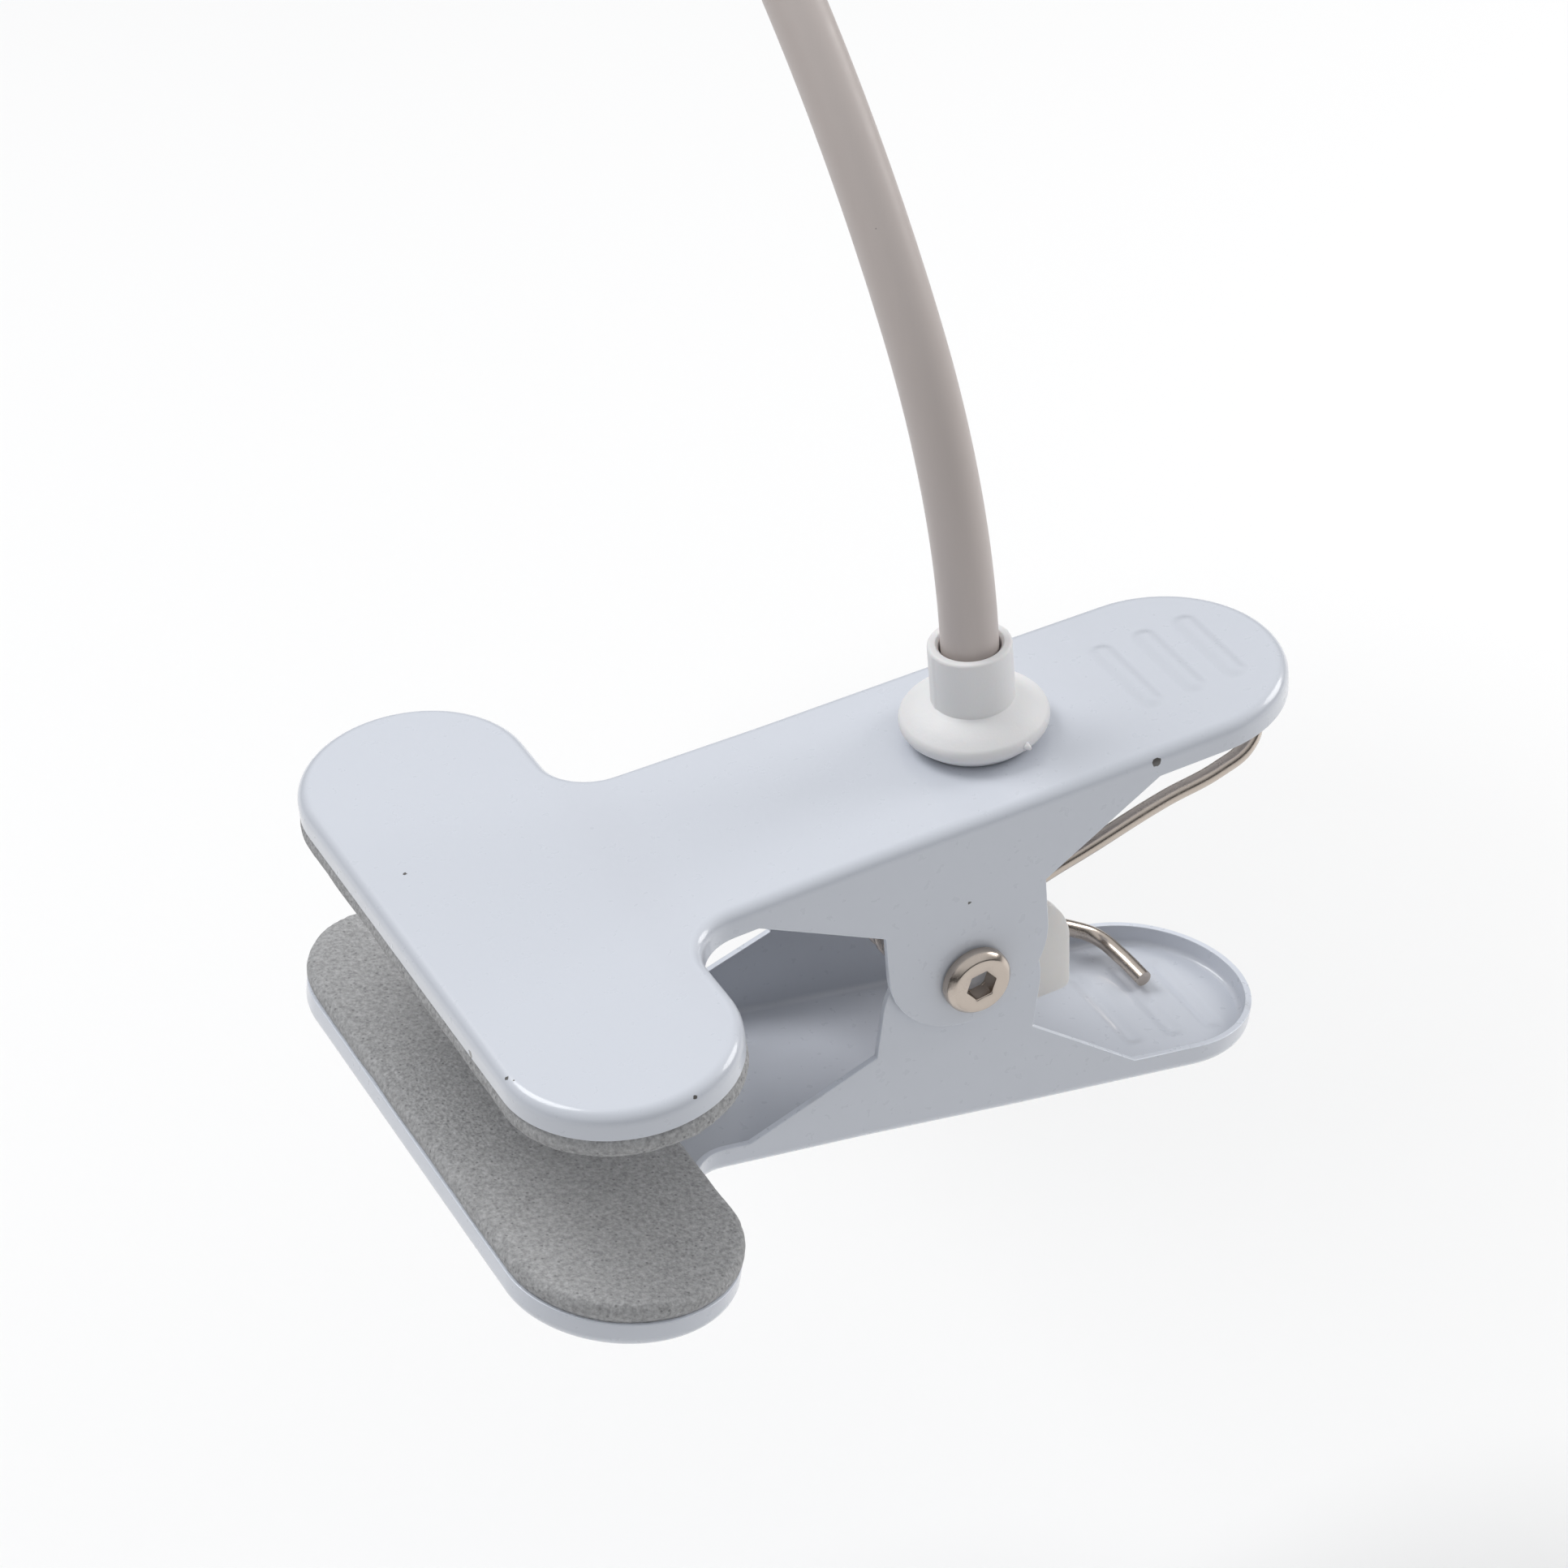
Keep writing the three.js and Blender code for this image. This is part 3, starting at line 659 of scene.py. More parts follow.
def complete(piece, body, nodes=(), soften=None, crease=35.0, matrix=None):
    """Places a piece, shades it, softens its edges, and hangs it on its body."""
    if matrix is not None:
        piece.data.transform(matrix)
    bm = bmesh.new()
    bm.from_mesh(piece.data)
    for face in bm.faces:
        face.smooth = True
    for edge in bm.edges:
        edge.smooth = not (edge.is_manifold and edge.calc_face_angle(0) > math.radians(crease))
    bm.to_mesh(piece.data)
    bm.free()
    if soften:
        bevel = piece.modifiers.new("soft edges", "BEVEL")
        bevel.width = soften
        bevel.segments = 3
        bevel.limit_method = "ANGLE"
        bevel.angle_limit = math.radians(crease)
        bevel.use_clamp_overlap = True
        even = piece.modifiers.new("even shading", "WEIGHTED_NORMAL")
        even.weight = 50
        even.keep_sharp = False
    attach(piece, body)
    if nodes:
        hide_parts(*nodes)
    return piece


# ---- clip ---------------------------------------------------------------------------------


def lever_outline(s, half):
    """(x, y, corner radius) round the flat plan of a lever, from the handle's tip."""
    wide, narrow = half + s.flare, half - s.flare
    side = [
        (s.handle_x + narrow, narrow, narrow),
        (s.cheek_end, half, 0.0),
        (s.cheek_start, half, 0.0),
        (s.jaw_r, wide, s.fillet),
        (s.jaw_r, s.jaw_half, s.jaw_r),
        (-s.jaw_r, s.jaw_half, s.jaw_r),
    ]
    return side + [(x, -y, r) for x, y, r in reversed(side)]


def press_ribs(bm, s, stations, half):
    """Raises finger ribs across the handle, each a low rounded bar."""
    foot, crown = 2.0 * MM, 0.2 * MM

    def tops(low, high):
        flat = [(f, f.calc_center_median()) for f in bm.faces if f.normal.z > 0.99]
        return [f for f, middle in flat if middle.z > -1e-6 and low < middle.x < high]

    for x in stations:
        for step in range(-5, 6):
            bm.normal_update()
            slice_faces(bm, tops(s.cheek_end, 1.0), (x + step / 5 * foot, 0, 0), (1, 0, 0))
        for side in (-1, 1):
            for step in range(6):
                bm.normal_update()
                y = side * (half - step / 5 * foot)
                slice_faces(bm, tops(x - foot, x + foot), (0, y, 0), (0, 1, 0))
    for vert in bm.verts:
        if vert.co.z < -1e-6:
            continue
        for x in stations:
            along = min(max(vert.co.y, foot - half), half - foot)
            away = math.hypot(vert.co.x - x, vert.co.y - along)
            share = min(max((foot - away) / (foot - crown), 0.0), 1.0)
            vert.co.z += s.rib_rise * share * share * (3 - 2 * share)


def pressed_lever(s, half, stations, rib_half):
    """One lever's outer skin, flat face up at z = 0: folded edge, cheeks and ribs."""
    bm = bmesh.new()
    outline = lever_outline(s, half)
    corners = polygon(bm, [(x, y, 0) for x, y, r in outline])
    for radius, segments in ((half - s.flare, 26), (s.fillet, 14), (s.jaw_r, 26)):
        picked = [v for v, (x, y, r) in zip(corners, outline) if r == radius]
        round_corners(bm, picked, radius, segments)
    bmesh.ops.remove_doubles(bm, verts=bm.verts[:], dist=0.05 * MM)
    for x in (s.slope_start, s.slope_end):
        slice_faces(bm, bm.faces[:], (x, 0, 0), (1, 0, 0))
    pull(bm, [e for e in bm.edges if e.is_boundary], Matrix.Translation((0, 0, -s.skirt)))
    near = 0.02 * MM
    for v in bm.verts:
        if v.co.z < -near and s.cheek_start - near < v.co.x < s.cheek_end + near:
            v.co.z = -s.shoulder
    low = [e for e in bm.edges if all(abs(v.co.z + s.shoulder) < near for v in e.verts)]
    reach = (s.cheek_end - s.cheek_start) / 2
    drop = s.cheek_depth + reach - s.shoulder
    ends = pull(bm, low, Matrix.Translation((0, 0, -drop)))
    round_corners(bm, list({v for e in ends for v in e.verts}), reach, 26)
    bmesh.ops.remove_doubles(bm, verts=bm.verts[:], dist=0.05 * MM)
    bm.normal_update()
    rim = [
        e
        for e in bm.edges
        if e.is_manifold and min(v.co.z for v in e.verts) > -near and e.calc_face_angle(0) > 1.0
    ]
    round_off(bm, rim, s.bend, 8, "EDGES")
    bm.normal_update()
    press_ribs(bm, s, stations, rib_half)
    bmesh.ops.recalc_face_normals(bm, faces=bm.faces[:])
    bm.normal_update()
    if max(bm.faces, key=lambda f: f.calc_area()).normal.z < 0:
        bmesh.ops.reverse_faces(bm, faces=bm.faces[:])
    return bm


def lever_piece(bm, name, body, s, materials, matrix):
    piece = as_object(bm, name, materials)
    sheet = piece.modifiers.new("sheet", "SOLIDIFY")
    sheet.thickness = s.sheet
    sheet.offset = -1
    sheet.use_even_offset = True
    sheet.material_offset_rim = 1
    return complete(piece, body, [name.removesuffix("_pressing")], 0.14 * MM, 50, matrix)


def upper_place(s):
    return Matrix.Translation((0, 0, s.pad_stands + s.skirt))


def lower_place(s):
    """The same pressing turned over about the pivot and spread from the upper one."""
    back = Matrix.Translation((-PIVOT.x, 0, -s.pivot_drop))
    spread = Matrix.Rotation(s.spread, 4, "Y")
    return Matrix.Translation(PIVOT) @ spread @ back @ Matrix.Rotation(math.pi, 4, "X")


class LAMP_OT_levers(bpy.types.Operator):
    """Press both levers: T-shaped jaws, folded edges, cheeks and finger ribs"""

    bl_idname = "lamp.levers"
    bl_label = "Levers"

    def execute(self, context):
        s = sizes("lamp_clip")
        chips = [
            ((0.0795, -0.0163, 0.0051), 1.1),
            ((0.0800, -0.0163, 0.0060), 0.6),
            ((-0.0139, -0.0295, 0.0059), 0.45),
            ((-0.0134, -0.0305, 0.0061), 0.3),
            ((-0.0147, -0.0203, 0.0034), 0.8),
            ((0.0032, -0.0434, 0.0055), 0.4),
            ((-0.0090, 0.0116, 0.0063), 0.4),
            ((0.0527, -0.0163, -0.0054), 0.4),
        ]
        paint = enamel("gloss_enamel_upper", chips)
        edge = finish(sheared_edge)
        stations = [x * MM for x in (84.6, 90.7, 96.6)]
        upper = pressed_lever(s, s.strip_half, stations, 8 * MM)
        lever_piece(upper, "upper_lever_pressing", "upper_clip", s, [paint, edge], upper_place(s))
        half = s.strip_half - s.nesting
        lower = pressed_lever(s, half, stations, 8.8 * MM)
        plain = finish(enamel)
        lever_piece(lower, "lower_lever_pressing", "lower_clip", s, [plain, edge], lower_place(s))
        return {"FINISHED"}


def pad_form(s):
    """A die-cut foam pad: a wide face block below and a narrower back inside the jaw."""
    bm = bmesh.new()
    face_r = s.jaw_r - s.pad_inset
    centre = s.jaw_half - s.jaw_r
    low = -s.skirt - s.pad_stands
    x, y = face_r, centre + face_r
    corners = polygon(bm, [(i * x, j * y, low) for i, j in QUARTERS])
    round_corners(bm, corners, face_r, 24)
    bmesh.ops.remove_doubles(bm, verts=bm.verts[:], dist=0.05 * MM)
    made = bmesh.ops.extrude_face_region(bm, geom=bm.faces[:])["geom"]
    block = s.pad_stands - s.gap
    bmesh.ops.translate(bm, verts=made_of(made, bmesh.types.BMVert), vec=(0, 0, block))
    top = made_of(made, bmesh.types.BMFace)
    bmesh.ops.inset_region(bm, faces=top, thickness=0.5 * MM, use_even_offset=True)
    made = bmesh.ops.extrude_face_region(bm, geom=top)["geom"]
    rise = s.skirt - s.sheet
    bmesh.ops.translate(bm, verts=made_of(made, bmesh.types.BMVert), vec=(0, 0, rise))
    bmesh.ops.delete(bm, geom=top, context="FACES_ONLY")
    bmesh.ops.recalc_face_normals(bm, faces=bm.faces[:])
    return bm


def soften_foam(piece, s, seed):
    """Remeshes the pad finely, rounds its edges, lets its side swell and its skin waver."""
    remesh = piece.modifiers.new("skin", "REMESH")
    remesh.mode = "VOXEL"
    remesh.voxel_size = 0.55 * MM
    settle(piece)
    bm = bmesh.new()
    bm.from_mesh(piece.data)
    every = {f"use_axis_{axis}": True for axis in "xyz"}
    for _ in range(3):
        bmesh.ops.smooth_vert(bm, verts=bm.verts[:], factor=0.5, **every)
    bm.normal_update()
    low = -s.skirt - s.pad_stands
    block = s.pad_stands - s.gap
    for vert in bm.verts:
        share = min(max((vert.co.z - low) / block, 0.0), 1.0)
        swell = 0.3 * MM * math.sin(math.pi * share) * math.hypot(vert.normal.x, vert.normal.y)
        waver = 0.10 * MM * noise.noise(vert.co * 180 + Vector((seed, 0, 0)))
        pits = 0.035 * MM * noise.noise(vert.co * 900 + Vector((0, seed, 0)))
        vert.co += vert.normal * (swell + waver + pits)
        vert.co.z = max(vert.co.z, low)
    bm.to_mesh(piece.data)
    bm.free()


class LAMP_OT_pads(bpy.types.Operator):
    """Cut the two foam pads and set them in the jaws"""

    bl_idname = "lamp.pads"
    bl_label = "Jaw Pads"

    def execute(self, context):
        s = sizes("lamp_clip")
        jobs = (("upper", upper_place(s), 3.0), ("lower", lower_place(s), 11.0))
        for side, place, seed in jobs:
            piece = as_object(pad_form(s), f"{side}_jaw_pad", [finish(foam)])
            soften_foam(piece, s, seed)
            complete(piece, f"{side}_clip", [f"{side}_pad"], None, 80, place)
        return {"FINISHED"}


def hexagon(bm, low, radius, flats, phase=math.radians(7.5)):
    """Pulls the ring at that radius, above low, into a hexagonal socket."""
    for vert in bm.verts:
        if vert.co.z > low and abs(math.hypot(vert.co.x, vert.co.y) - radius) < 1e-6:
            turned = (math.atan2(vert.co.y, vert.co.x) - phase) % (math.pi / 3) - math.pi / 6
            vert.co.xy *= flats / 2 / math.cos(turned) / radius


class LAMP_OT_pivot(bpy.types.Operator):
    """Turn the pivot screw with its hex socket, and its nut on the far side"""

    bl_idname = "lamp.pivot"
    bl_label = "Pivot Screw and Nut"

    def execute(self, context):
        s = sizes("lamp_clip")
        plate = finish(nickel)
        face = (s.strip_half + s.gap) / MM
        r, shank, ring = s.screw_r / MM, 1.9, 1.8
        turned = [
            (AXIS, 2), (shank, 2), (shank, face), (r, face), (r, face + 1.15),
            (r - 0.75, face + 2), (ring + 0.45, face + 2), (ring, face + 1.9),
            (ring, face - 0.4), (AXIS, face - 0.7),
        ]
        bm = turn(turned, 96, [(5, 0.2, 3), (4, 0.35, 4)])
        hexagon(bm, (face - 0.5) * MM, ring * MM, s.socket_flats)
        place = Matrix.Translation(PIVOT) @ Matrix.Rotation(math.pi / 2, 4, "X")
        screw = as_object(bm, "hex_socket_screw", [plate])
        complete(screw, "upper_clip", ["pivot_screw"], 0.1 * MM, 38, place)
        outer, bore, tip = 3, 2.2, s.gap / MM - face
        barrel = [
            (bore, tip), (outer, tip), (outer, face), (r, face), (r, face + 1.8),
            (AXIS, face + 1.8), (AXIS, face - 1), (bore, face - 1),
        ]
        bm = turn(barrel, 96, [(4, 0.7, 5)])
        place = Matrix.Translation(PIVOT) @ Matrix.Rotation(-math.pi / 2, 4, "X")
        nut = as_object(bm, "barrel_nut", [plate])
        complete(nut, "upper_clip", ["pivot_nut"], 0.15 * MM, 38, place)
        return {"FINISHED"}


def coil_point(s, turn_angle, y):
    r = s.coil_r
    return PIVOT + Vector((r * math.cos(turn_angle), y, r * math.sin(turn_angle)))


def coil_form(s):
    """The close-wound coil, swept by one small turn after another."""
    steps = 30 * s.turns
    whole = s.end - s.start + math.tau * s.turns
    rise = 2 * s.coil_half / steps
    first = coil_point(s, s.start, -s.coil_half)
    along = (coil_point(s, s.start + whole / steps, -s.coil_half + rise) - first).normalized()
    facing = along.to_track_quat("Z", "Y").to_matrix().to_4x4()
    bm = bmesh.new()
    bmesh.ops.create_circle(
        bm, cap_ends=False, radius=s.wire / 2, segments=16, matrix=Matrix.Translation(first) @ facing
    )
    there, back = Matrix.Translation(PIVOT + Vector((0, rise, 0))), Matrix.Translation(-PIVOT)
    step = there @ Matrix.Rotation(-whole / steps, 4, "Y") @ back
    edges = bm.edges[:]
    for _ in range(steps):
        edges = pull(bm, edges, step)
    bmesh.ops.holes_fill(bm, edges=[e for e in bm.edges if e.is_boundary], sides=0)
    bmesh.ops.recalc_face_normals(bm, faces=bm.faces[:])
    return bm


def wire_leg(name, points, radius, material):
    """A bent wire through the points, with square-cut ends."""
    curve = bpy.data.curves.new(name, "CURVE")
    curve.dimensions = "3D"
    curve.bevel_depth = radius
    curve.bevel_resolution = 5
    curve.use_fill_caps = True
    spline = curve.splines.new("BEZIER")
    spline.resolution_u = 10
    spline.bezier_points.add(len(points) - 1)
    for knot, point in zip(spline.bezier_points, points):
        knot.co = point
        knot.handle_left_type = knot.handle_right_type = "AUTO"
    path = bpy.data.objects.new(name + "_path", curve)
    bpy.context.scene.collection.objects.link(path)
    bpy.context.view_layer.update()
    mesh = bpy.data.meshes.new_from_object(path.evaluated_get(bpy.context.evaluated_depsgraph_get()))
    bpy.data.objects.remove(path)
    bm = bmesh.new()
    bm.from_mesh(mesh)
    bpy.data.meshes.remove(mesh)
    bmesh.ops.remove_doubles(bm, verts=bm.verts[:], dist=1e-6)
    bmesh.ops.recalc_face_normals(bm, faces=bm.faces[:])
    return as_object(bm, name, [material])


class LAMP_OT_spring(bpy.types.Operator):
    """Wind the torsion spring: a coil and a leg under each handle"""

    bl_idname = "lamp.spring"
    bl_label = "Torsion Spring"

    def execute(self, context):
        s = sizes("lamp_spring")
        plate = finish(nickel)
        upper = [
            (98.2, 5, 3.9), (98.2, -3.5, 2.7), (97.2, -9.6, 0.9), (94.3, -12.4, -0.7),
            (90, -12.9, -2.2), (82, -12.9, -3.7), (68, -12.8, -7.5), (59, -12.1, -9.9),
        ]
        lower = [
            (57, 10.9, -26.2), (66, 12.6, -31.8), (76, 12.8, -38), (81.9, 12.8, -41.6),
            (85, 11.6, -43.6), (86.3, 8, -44.7), (86.8, 2.5, -45.2),
        ]
        overlap = [math.radians(5 * k) for k in range(3)]
        lead = s.coil_half * 2 / (s.end - s.start + math.tau * s.turns)
        into = [coil_point(s, s.start + a, -s.coil_half + lead * a) for a in overlap]
        out = [coil_point(s, s.end - a, s.coil_half - lead * a) for a in reversed(overlap)]
        upper = [Vector(p) * MM for p in upper] + into
        lower = out + [Vector(p) * MM for p in lower]
        coil = as_object(coil_form(s), "spring_coil", [plate])
        coil = complete(coil, "upper_clip", ["torsion_spring"], None, 60)
        coil.parent = None
        del coil["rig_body"]
        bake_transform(coil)
        leg = wire_leg("spring_upper_leg", upper, s.wire / 2, plate)
        complete(leg, "upper_clip", ["torsion_spring"], None, 60)
        leg = wire_leg("spring_lower_leg", lower, s.wire / 2, plate)
        complete(leg, "lower_clip", ["torsion_spring"], None, 60)
        return {"FINISHED"}


class LAMP_OT_spool(bpy.types.Operator):
    """Mould the nylon spool: a core inside the coil and a flange beside it"""

    bl_idname = "lamp.spool"
    bl_label = "Spring Spool"

    def execute(self, context):
        flange = [
            (-5.5, -1.5, 1.5), (-5.5, -12.4, 1.5), (16.2, -12.4, 1.2), (16.7, -1.6, 2.6),
            (13.4, 2.5, 2.0), (9.5, 2.2, 1.0), (4, -0.8, 1.0),
        ]
        bm = bmesh.new()
        corners = polygon(bm, [(x * MM, z * MM, 9.3 * MM) for x, z, r in flange])
        for corner, (x, z, r) in zip(corners, flange):
            round_corners(bm, [corner], r * MM, 8)
        thicken(bm, 1.4 * MM)
        spool = as_object(bm, "nylon_spool", [finish(nylon)])
        carve(spool, rod(4.2, -11.2, 11.2), operation="UNION")
        carve(spool, rod(3.3, -12, 12))
        place = Matrix.Translation(PIVOT) @ Matrix.Rotation(math.pi / 2, 4, "X")
        complete(spool, "lower_clip", ["spring_spool"], 0.35 * MM, 40, place)
        return {"FINISHED"}


class LAMP_OT_collar(bpy.types.Operator):
    """Mould the white collar: domed flange, round stub, shank under the plate"""

    bl_idname = "lamp.collar"
    bl_label = "Neck Collar"

    def execute(self, context):
        s, n = sizes("lamp_clip"), sizes("lamp_neck")
        bore = n.radius / MM + 0.3
        profile = [
            (bore, -9), (4.7, -9), (4.7, 0.2), (7.6, 0.2), (9.38, 1.9), (9.38, 3.2), (7.2, 5.0),
            (5.25, 5.6), (5.25, 13.5), (bore + 0.35, 13.5), (bore, 13.1),
        ]
        bm = turn(profile, 144, [(8, 0.4, 5), (6, 1.3, 6), (5, 0.55, 6), (4, 0.55, 5)])
        seam, seam_rise, rim, uneven = 0.5 * MM, 0.06 * MM, 12.6 * MM, 0.12 * MM
        for vert in bm.verts:
            across = math.hypot(vert.co.x, vert.co.y)
            if abs(vert.co.y) < seam / 2 and min(vert.co.z, across) > 5 * MM:
                vert.co.x += math.copysign(seam_rise, vert.co.x)
            if vert.co.z > rim:
                vert.co.z += uneven * noise.noise(vert.co * 90 + Vector((0, 0, 7)))
        white = finish(white_plastic)
        collar = as_object(bm, "white_collar", [white])
        place = upper_place(s) @ Matrix.Translation((n.place_x, 0, 0))
        complete(collar, "upper_clip", ["neck_collar"], 0.08 * MM, 30, place)
        bm = bmesh.new()
        spot = place @ Matrix.Translation((2.3 * MM, -9.1 * MM, 2.5 * MM))
        bmesh.ops.create_icosphere(bm, subdivisions=3, radius=0.5 * MM, matrix=spot)
        for vert in bm.verts:
            away = vert.co - spot.translation
            vert.co += away * (0.5 * noise.noise(vert.co * 1500) - 0.1)
            vert.co.y -= 0.6 * max(0.0, -away.y) * (1 + math.sin(away.x / MM * 5))
        burr = as_object(bm, "collar_burr", [white])
        complete(burr, "upper_clip", (), None, 80)
        return {"FINISHED"}


# ---- neck ---------------------------------------------------------------------------------


def neck_turns(n):
    lean = Vector((math.cos(n.plane), math.sin(n.plane), 0))
    return lean, UP.cross(lean)


def neck_arcs(n):
    return ((n.low_r, n.low_turn), (n.middle_r, n.middle_turn), (n.high_r, n.high_turn))


def neck_length(n):
    return sum(radius * turn for radius, turn in neck_arcs(n))


def neck_frame(n, distance):
    """Place and direction of the neck, at a distance along it from where it starts to bend."""
    lean, side = neck_turns(n)
    out, rise, a, rest = 0.0, n.straight_to + min(distance, 0.0), 0.0, max(distance, 0.0)
    for radius, most in neck_arcs(n):
        bent = min(rest / radius, most)
        out += radius * (math.cos(a) - math.cos(a + bent))
        rise += radius * (math.sin(a + bent) - math.sin(a))
        a += bent
        rest -= radius * bent
    along = UP * math.cos(a) + lean * math.sin(a)
    point = Vector((n.place_x, 0, rise)) + lean * out + along * rest
    turned = Matrix((side, along.cross(side), along)).transposed().to_4x4()
    return Matrix.Translation(point) @ turned


def sleeve_form(n, start, end):
    """A stretch of the neck's sleeve, swept along its centre line."""
    steps = max(2, round((end - start) / (0.8 * MM)))
    frames = [neck_frame(n, start + (end - start) * k / steps) for k in range(steps + 1)]
    bm = bmesh.new()
    bmesh.ops.create_circle(bm, cap_ends=False, radius=n.radius, segments=56, matrix=frames[0])
    edges = bm.edges[:]
    for before, after in zip(frames, frames[1:]):
        edges = pull(bm, edges, after @ before.inverted())
    bmesh.ops.holes_fill(bm, edges=[e for e in bm.edges if e.is_boundary], sides=0)
    bmesh.ops.recalc_face_normals(bm, faces=bm.faces[:])
    return bm


class LAMP_OT_neck(bpy.types.Operator):
    """Draw the neck's sleeve: one stretch over each joint"""

    bl_idname = "lamp.neck"
    bl_label = "Neck"

    def execute(self, context):
        s, n = sizes("lamp_clip"), sizes("lamp_neck")
        skin = finish(neck_sleeve)
        pitch, reach = neck_length(n) / n.links, 9 * MM
        bodies = ["upper_clip"] + [f"neck_{k}" for k in range(1, n.links)] + ["lamp_head"]
        for k in range(1, n.links + 1):
            start, end = pitch * (k - 1), pitch * k
            if k == 1:
                start = s.pad_stands + s.skirt - n.rooted - n.straight_to
            if k == n.links:
                end += n.tip
            sleeve = as_object(sleeve_form(n, start, end), f"neck_sleeve_{k:02d}", [skin])
            nodes = [f"neck_link_{k:02d}"] + (["neck_root"] if k == 1 else [])
            complete(sleeve, bodies[k - 1], nodes, None, 50)
            sleeve.parent = None
            del sleeve["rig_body"]
            joint = pitch * (k - 0.5)
            neck_frame(n, joint - reach).translation
            neck_frame(n, joint + reach).translation
            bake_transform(sleeve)
        return {"FINISHED"}


# ---- lamp head ----------------------------------------------------------------------------


def head_place():
    n, h = sizes("lamp_neck"), sizes("lamp_head")
    return neck_frame(n, neck_length(n) + n.tip) @ Matrix.Translation((0, 0, h.set_off))


class LAMP_OT_casing(bpy.types.Operator):
    """Turn the head's casing and its bezel, and cut the openings for button and inlet"""

    bl_idname = "lamp.casing"
    bl_label = "Head Casing"

    def execute(self, context):
        h = sizes("lamp_head")
        paint = finish(enamel)
        r, depth, offset = h.radius / MM, h.depth / MM, h.offset / MM
        profile = [
            (4.3, 0), (r, 0), (r, depth), (r - 1.3, depth), (r - 1.3, depth - 15),
            (r - 2.6, depth - 15), (r - 2.6, 2), (4.3, 2),
        ]
        bm = turn(profile, 144, [(1, h.shoulder / MM, 12), (6, 5.6, 8)])
        shell = as_object(bm, "head_casing", [paint])
        inlet = slot_prism(3.9, 9.6, -1, 3, -offset)
        carve(shell, rod(h.button_r / MM + 0.3, -1, 3, offset), inlet)
        bosses = [rod(2.6, 1.5, 8.7, 0, y, 32) for y in (13, -13)]
        carve(shell, *bosses, operation="UNION")
        carve(shell, *[rod(1.25, 3.2, 9, 0, y, 32) for y in (13, -13)])
        complete(shell, "lamp_head", ["head_shell"], 0.22 * MM, 35, head_place())
        front = h.front / MM
        ring = [
            (19, 36.5), (20.4, 36.5), (20.4, 42.3), (r, 42.3), (r, front), (17.9, front),
            (17.5, front - 0.6), (17.5, 47.4), (19, 47.4),
        ]
        bm = turn(ring, 144, [(4, 1.0, 6)])
        bezel = as_object(bm, "front_bezel", [paint])
        complete(bezel, "lamp_head", ["head_bezel"], 0.18 * MM, 35, head_place())
        return {"FINISHED"}


class LAMP_OT_front(bpy.types.Operator):
    """Mould the frosted cover, turn the reflector and seat the seal"""

    bl_idname = "lamp.front"
    bl_label = "Cover, Seal and Reflector"

    def execute(self, context):
        h = sizes("lamp_head")
        r = h.lens_r / MM
        cover = [
            (AXIS, 45), (r, 45), (r, 47.1), (17.2, 47.1), (16.6, 47.9), (10, 48.7), (AXIS, 48.9),
        ]
        reflector = [
            (6.6, 31.1), (7.5, 31.1), (9.4, 34.4), (12.6, 38.6), (17.2, 42.6), (18.6, 42.6),
            (18.6, 43.4), (16.6, 43.4), (11.8, 39.2), (8.6, 34.8),
        ]
        seal = [(17.3, 43.7), (18.7, 43.7), (18.7, 44.7), (17.3, 44.7)]
        jobs = (
            ("frosted_front_cover", cover, frosted_lens, "head_lens", "lens", [(5, 6, 6)]),
            ("turned_reflector", reflector, mirror_coating, "reflector", "mirror_coating", ()),
            ("cover_seal", seal, black_plastic, "lens_gasket", "black_plastic", ()),
        )
        for name, profile, look, node, slot, rounds in jobs:
            bm = turn(profile, 128, rounds)
            piece = as_object(bm, name, [finish(look)])
            complete(piece, "lamp_head", [node], 0.12 * MM, 35, head_place())
        return {"FINISHED"}


class LAMP_OT_controls(bpy.types.Operator):
    """Mould the push button and draw the charging inlet's shell"""

    bl_idname = "lamp.controls"
    bl_label = "Button and Inlet"

    def execute(self, context):
        h = sizes("lamp_head")
        offset, r = h.offset / MM, h.button_r / MM
        proud = -h.button_proud / MM
        cap = [
            (AXIS, proud + 0.25), (r - 1.1, proud), (r, proud), (r, 2.3), (r + 0.6, 2.3),
            (r + 0.6, 3.3), (1.6, 3.3), (1.6, 4.6), (AXIS, 4.6),
        ]
        bm = turn(cap, 96, [(2, 0.7, 6)])
        button = as_object(bm, "power_button_cap", [finish(white_plastic)])
        aside = head_place() @ Matrix.Translation((h.offset, 0, 0))
        complete(button, "power_button", ["push_button"], 0.1 * MM, 35, aside)
        inlet = slot_prism(3.3, 9, 0.3, 8.7, -offset, name="inlet_shell")
        carve(inlet, slot_prism(2.5, 8.2, -1, 7.2, -offset))
        tongue = slot_prism(0.7, 6.2, 1.2, 7.4, -offset, 0.2)
        carve(inlet, tongue, operation="UNION")
        inlet.data.materials.clear()
        inlet.data.materials.append(finish(nickel))
        complete(inlet, "lamp_head", ["charging_inlet"], 0.1 * MM, 35, head_place())
        return {"FINISHED"}


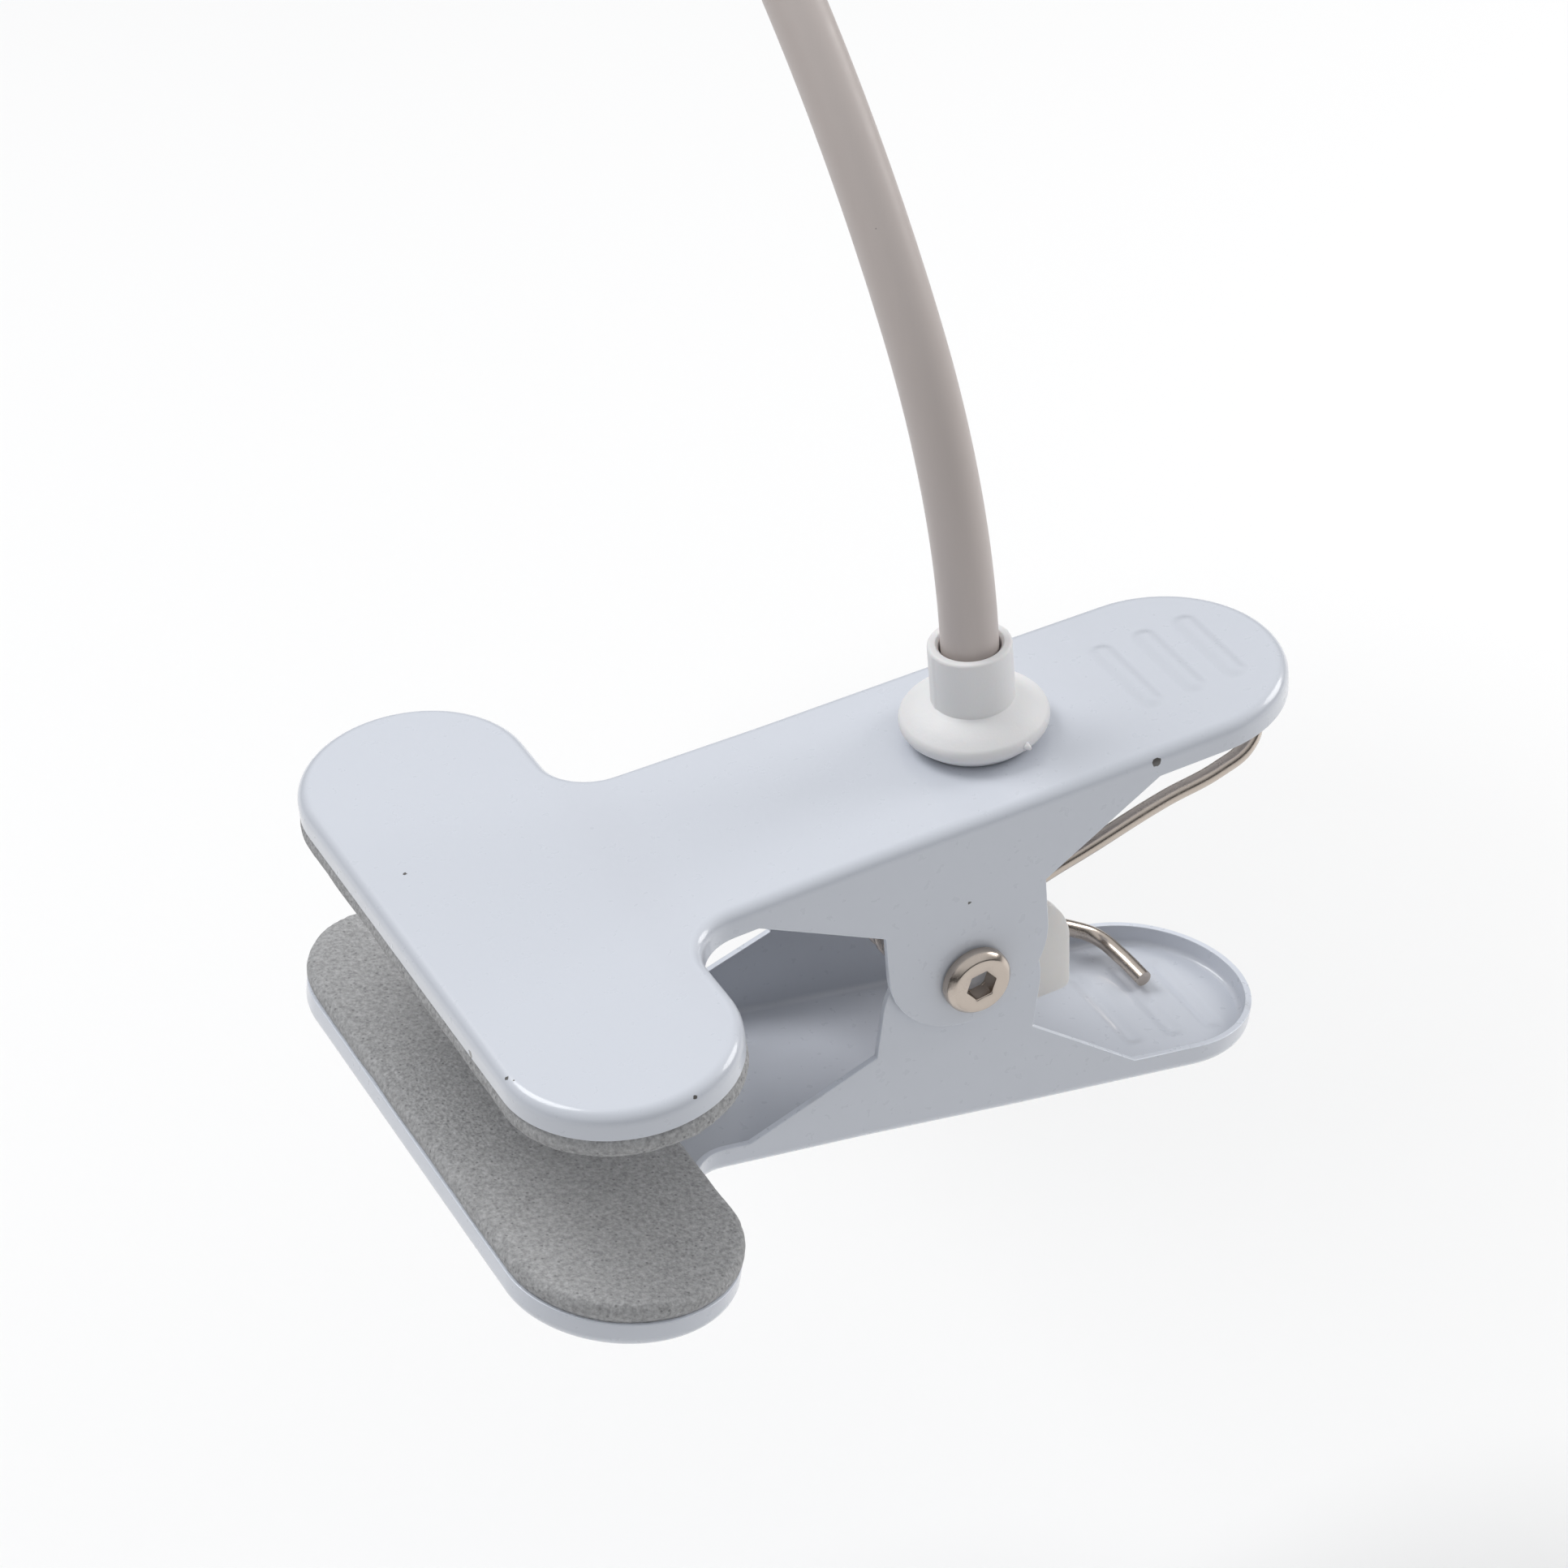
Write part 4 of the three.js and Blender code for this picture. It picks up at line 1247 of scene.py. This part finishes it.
class LAMP_OT_ferrule(bpy.types.Operator):
    """Turn the nickel ferrule that holds the neck's end in the head"""

    bl_idname = "lamp.ferrule"
    bl_label = "Head Ferrule"

    def execute(self, context):
        n = sizes("lamp_neck")
        bore = n.radius / MM + 0.3
        profile = [
            (AXIS, -3.6), (bore, -3.6), (bore, -9), (4.9, -9), (5.6, -8.2), (5.6, -1.4),
            (6.6, -0.3), (4, -0.3), (4, 6.6), (AXIS, 6.6),
        ]
        bm = turn(profile, 96, [(4, 0.5, 4)])
        ferrule = as_object(bm, "neck_ferrule", [finish(nickel)])
        complete(ferrule, "lamp_head", ["head_ferrule"], 0.12 * MM, 30, head_place())
        return {"FINISHED"}


class LAMP_OT_fittings(bpy.types.Operator):
    """Give the frame's own small fittings their finishes and soft edges"""

    bl_idname = "lamp.fittings"
    bl_label = "Small Fittings"

    def execute(self, context):
        makers = (nickel, nylon, foam, white_plastic, aluminium, circuit_board)
        makers += (black_plastic, phosphor, cell_wrap)
        looks = {make.__name__: finish(make) for make in makers}
        slots = {p["node"]: p["material_slot"] for p in frame["record"]["subparts"]}
        for name, node in frame["nodes"].items():
            if node.hide_render:
                continue
            for holder in node.material_slots:
                holder.material = looks[slots[name]]
            weld = node.modifiers.new("weld", "WELD")
            weld.merge_threshold = 1e-6
            soft = node.modifiers.new("soft edges", "BEVEL")
            soft.width = 0.08 * MM
            soft.segments = 2
            soft.limit_method = "ANGLE"
            soft.angle_limit = math.radians(40)
        return {"FINISHED"}


# ---- stage --------------------------------------------------------------------------------

DROP = 90 * MM  # from the lamp's lowest point to the floor
FOCAL_LENGTH = 112.8
CAMERA_PLACE = (-0.15585, -0.43765, 0.36500)
CAMERA_AIM = (0.32294, 0.73399, -0.59746)
CAMERA_ROLL = math.radians(-5.2)


def soft_light(name, place, aim, size, power, tint):
    lamp = bpy.data.lights.new(name, "AREA")
    lamp.shape = "DISK"
    lamp.size = size
    lamp.energy = power
    lamp.color = tint
    light = bpy.data.objects.new(name, lamp)
    bpy.context.scene.collection.objects.link(light)
    light.location = place
    light.rotation_euler = (Vector(aim) - Vector(place)).to_track_quat("-Z", "Y").to_euler()


def soft_room():
    """A plain room: bright above, dimmer towards the horizon."""
    world = bpy.data.worlds.new("soft_room")
    world.use_nodes = True
    tree = world.node_tree
    sky = tree.nodes["Background"]
    sky.inputs["Color"].default_value = (0.97, 0.985, 1.0, 1.0)
    direction = tree.nodes.new("ShaderNodeTexCoord").outputs["Generated"]
    parts = tree.nodes.new("ShaderNodeSeparateXYZ")
    tree.links.new(direction, parts.inputs["Vector"])
    rise = tree.nodes.new("ShaderNodeMapRange")
    rise.interpolation_type = "SMOOTHSTEP"
    for socket, value in (("From Min", 0.1), ("From Max", 0.75), ("To Min", 0.03), ("To Max", 0.80)):
        rise.inputs[socket].default_value = value
    tree.links.new(parts.outputs["Z"], rise.inputs["Value"])
    tree.links.new(rise.outputs["Result"], sky.inputs["Strength"])
    return world


class LAMP_OT_stage(bpy.types.Operator):
    """Lay the pale floor, hang the soft lights and set up the camera"""

    bl_idname = "lamp.stage"
    bl_label = "Floor, Lights and Camera"

    def execute(self, context):
        c = sizes("lamp_colours")
        scene = context.scene
        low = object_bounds()[0]
        bm = bmesh.new()
        level = Matrix.Translation((0, 0, low.z - DROP))
        bmesh.ops.create_grid(bm, x_segments=1, y_segments=1, size=4.0, matrix=level)
        f = Finish("pale_floor", c.floor, 0.6)
        f.colour(f.shades(f.grain(3, 2), 0.004))
        floor = as_object(bm, "pale_floor", [f.material])
        floor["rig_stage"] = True
        scene.world = soft_room()
        centre = (0.03, 0.0, 0.0)
        soft_light("back_left", (-0.35, 0.6, 1.1), centre, 0.7, 7.2, (1.0, 1.0, 1.0))
        soft_light("right", (1.0, 0.0, 0.4), centre, 0.5, 3.4, (1.0, 0.985, 0.97))
        scene.view_settings.view_transform = "Standard"
        lens = bpy.data.cameras.new("camera")
        lens.sensor_width = 36
        lens.lens = FOCAL_LENGTH
        lens.clip_start, lens.clip_end = 0.01, 20
        camera = bpy.data.objects.new("camera", lens)
        scene.collection.objects.link(camera)
        camera.location = CAMERA_PLACE
        look = Vector(CAMERA_AIM).to_track_quat("-Z", "Y")
        camera.rotation_mode = "QUATERNION"
        camera.rotation_quaternion = look @ Quaternion(UP, CAMERA_ROLL)
        scene.camera = camera
        return {"FINISHED"}


class LAMP_PT_sidebar(bpy.types.Panel):
    """Lists the lamp's pieces in the order they are made"""

    bl_label = "Reading Lamp"
    bl_idname = "LAMP_PT_sidebar"
    bl_space_type = "VIEW_3D"
    bl_region_type = "UI"
    bl_category = "Reading Lamp"

    def draw(self, context):
        for kind, group in GROUPS.items():
            box = self.layout.box()
            for name in group.__annotations__:
                box.prop(getattr(context.scene, kind), name)
        for operator in OPERATORS:
            self.layout.operator(operator.bl_idname)


OPERATORS = (
    LAMP_OT_levers,
    LAMP_OT_pads,
    LAMP_OT_pivot,
    LAMP_OT_spring,
    LAMP_OT_spool,
    LAMP_OT_collar,
    LAMP_OT_neck,
    LAMP_OT_ferrule,
    LAMP_OT_casing,
    LAMP_OT_front,
    LAMP_OT_controls,
    LAMP_OT_fittings,
    LAMP_OT_stage,
)


def register():
    for cls in (*GROUPS.values(), *OPERATORS, LAMP_PT_sidebar):
        bpy.utils.register_class(cls)
    for kind, group in GROUPS.items():
        setattr(bpy.types.Scene, kind, PointerProperty(type=group))


def unregister():
    for kind in GROUPS:
        delattr(bpy.types.Scene, kind)
    for cls in reversed((*GROUPS.values(), *OPERATORS, LAMP_PT_sidebar)):
        bpy.utils.unregister_class(cls)


def main():
    register()
    for operator in OPERATORS:
        getattr(bpy.ops.lamp, operator.bl_idname.split(".")[1])()


if __name__ == "__main__":
    main()
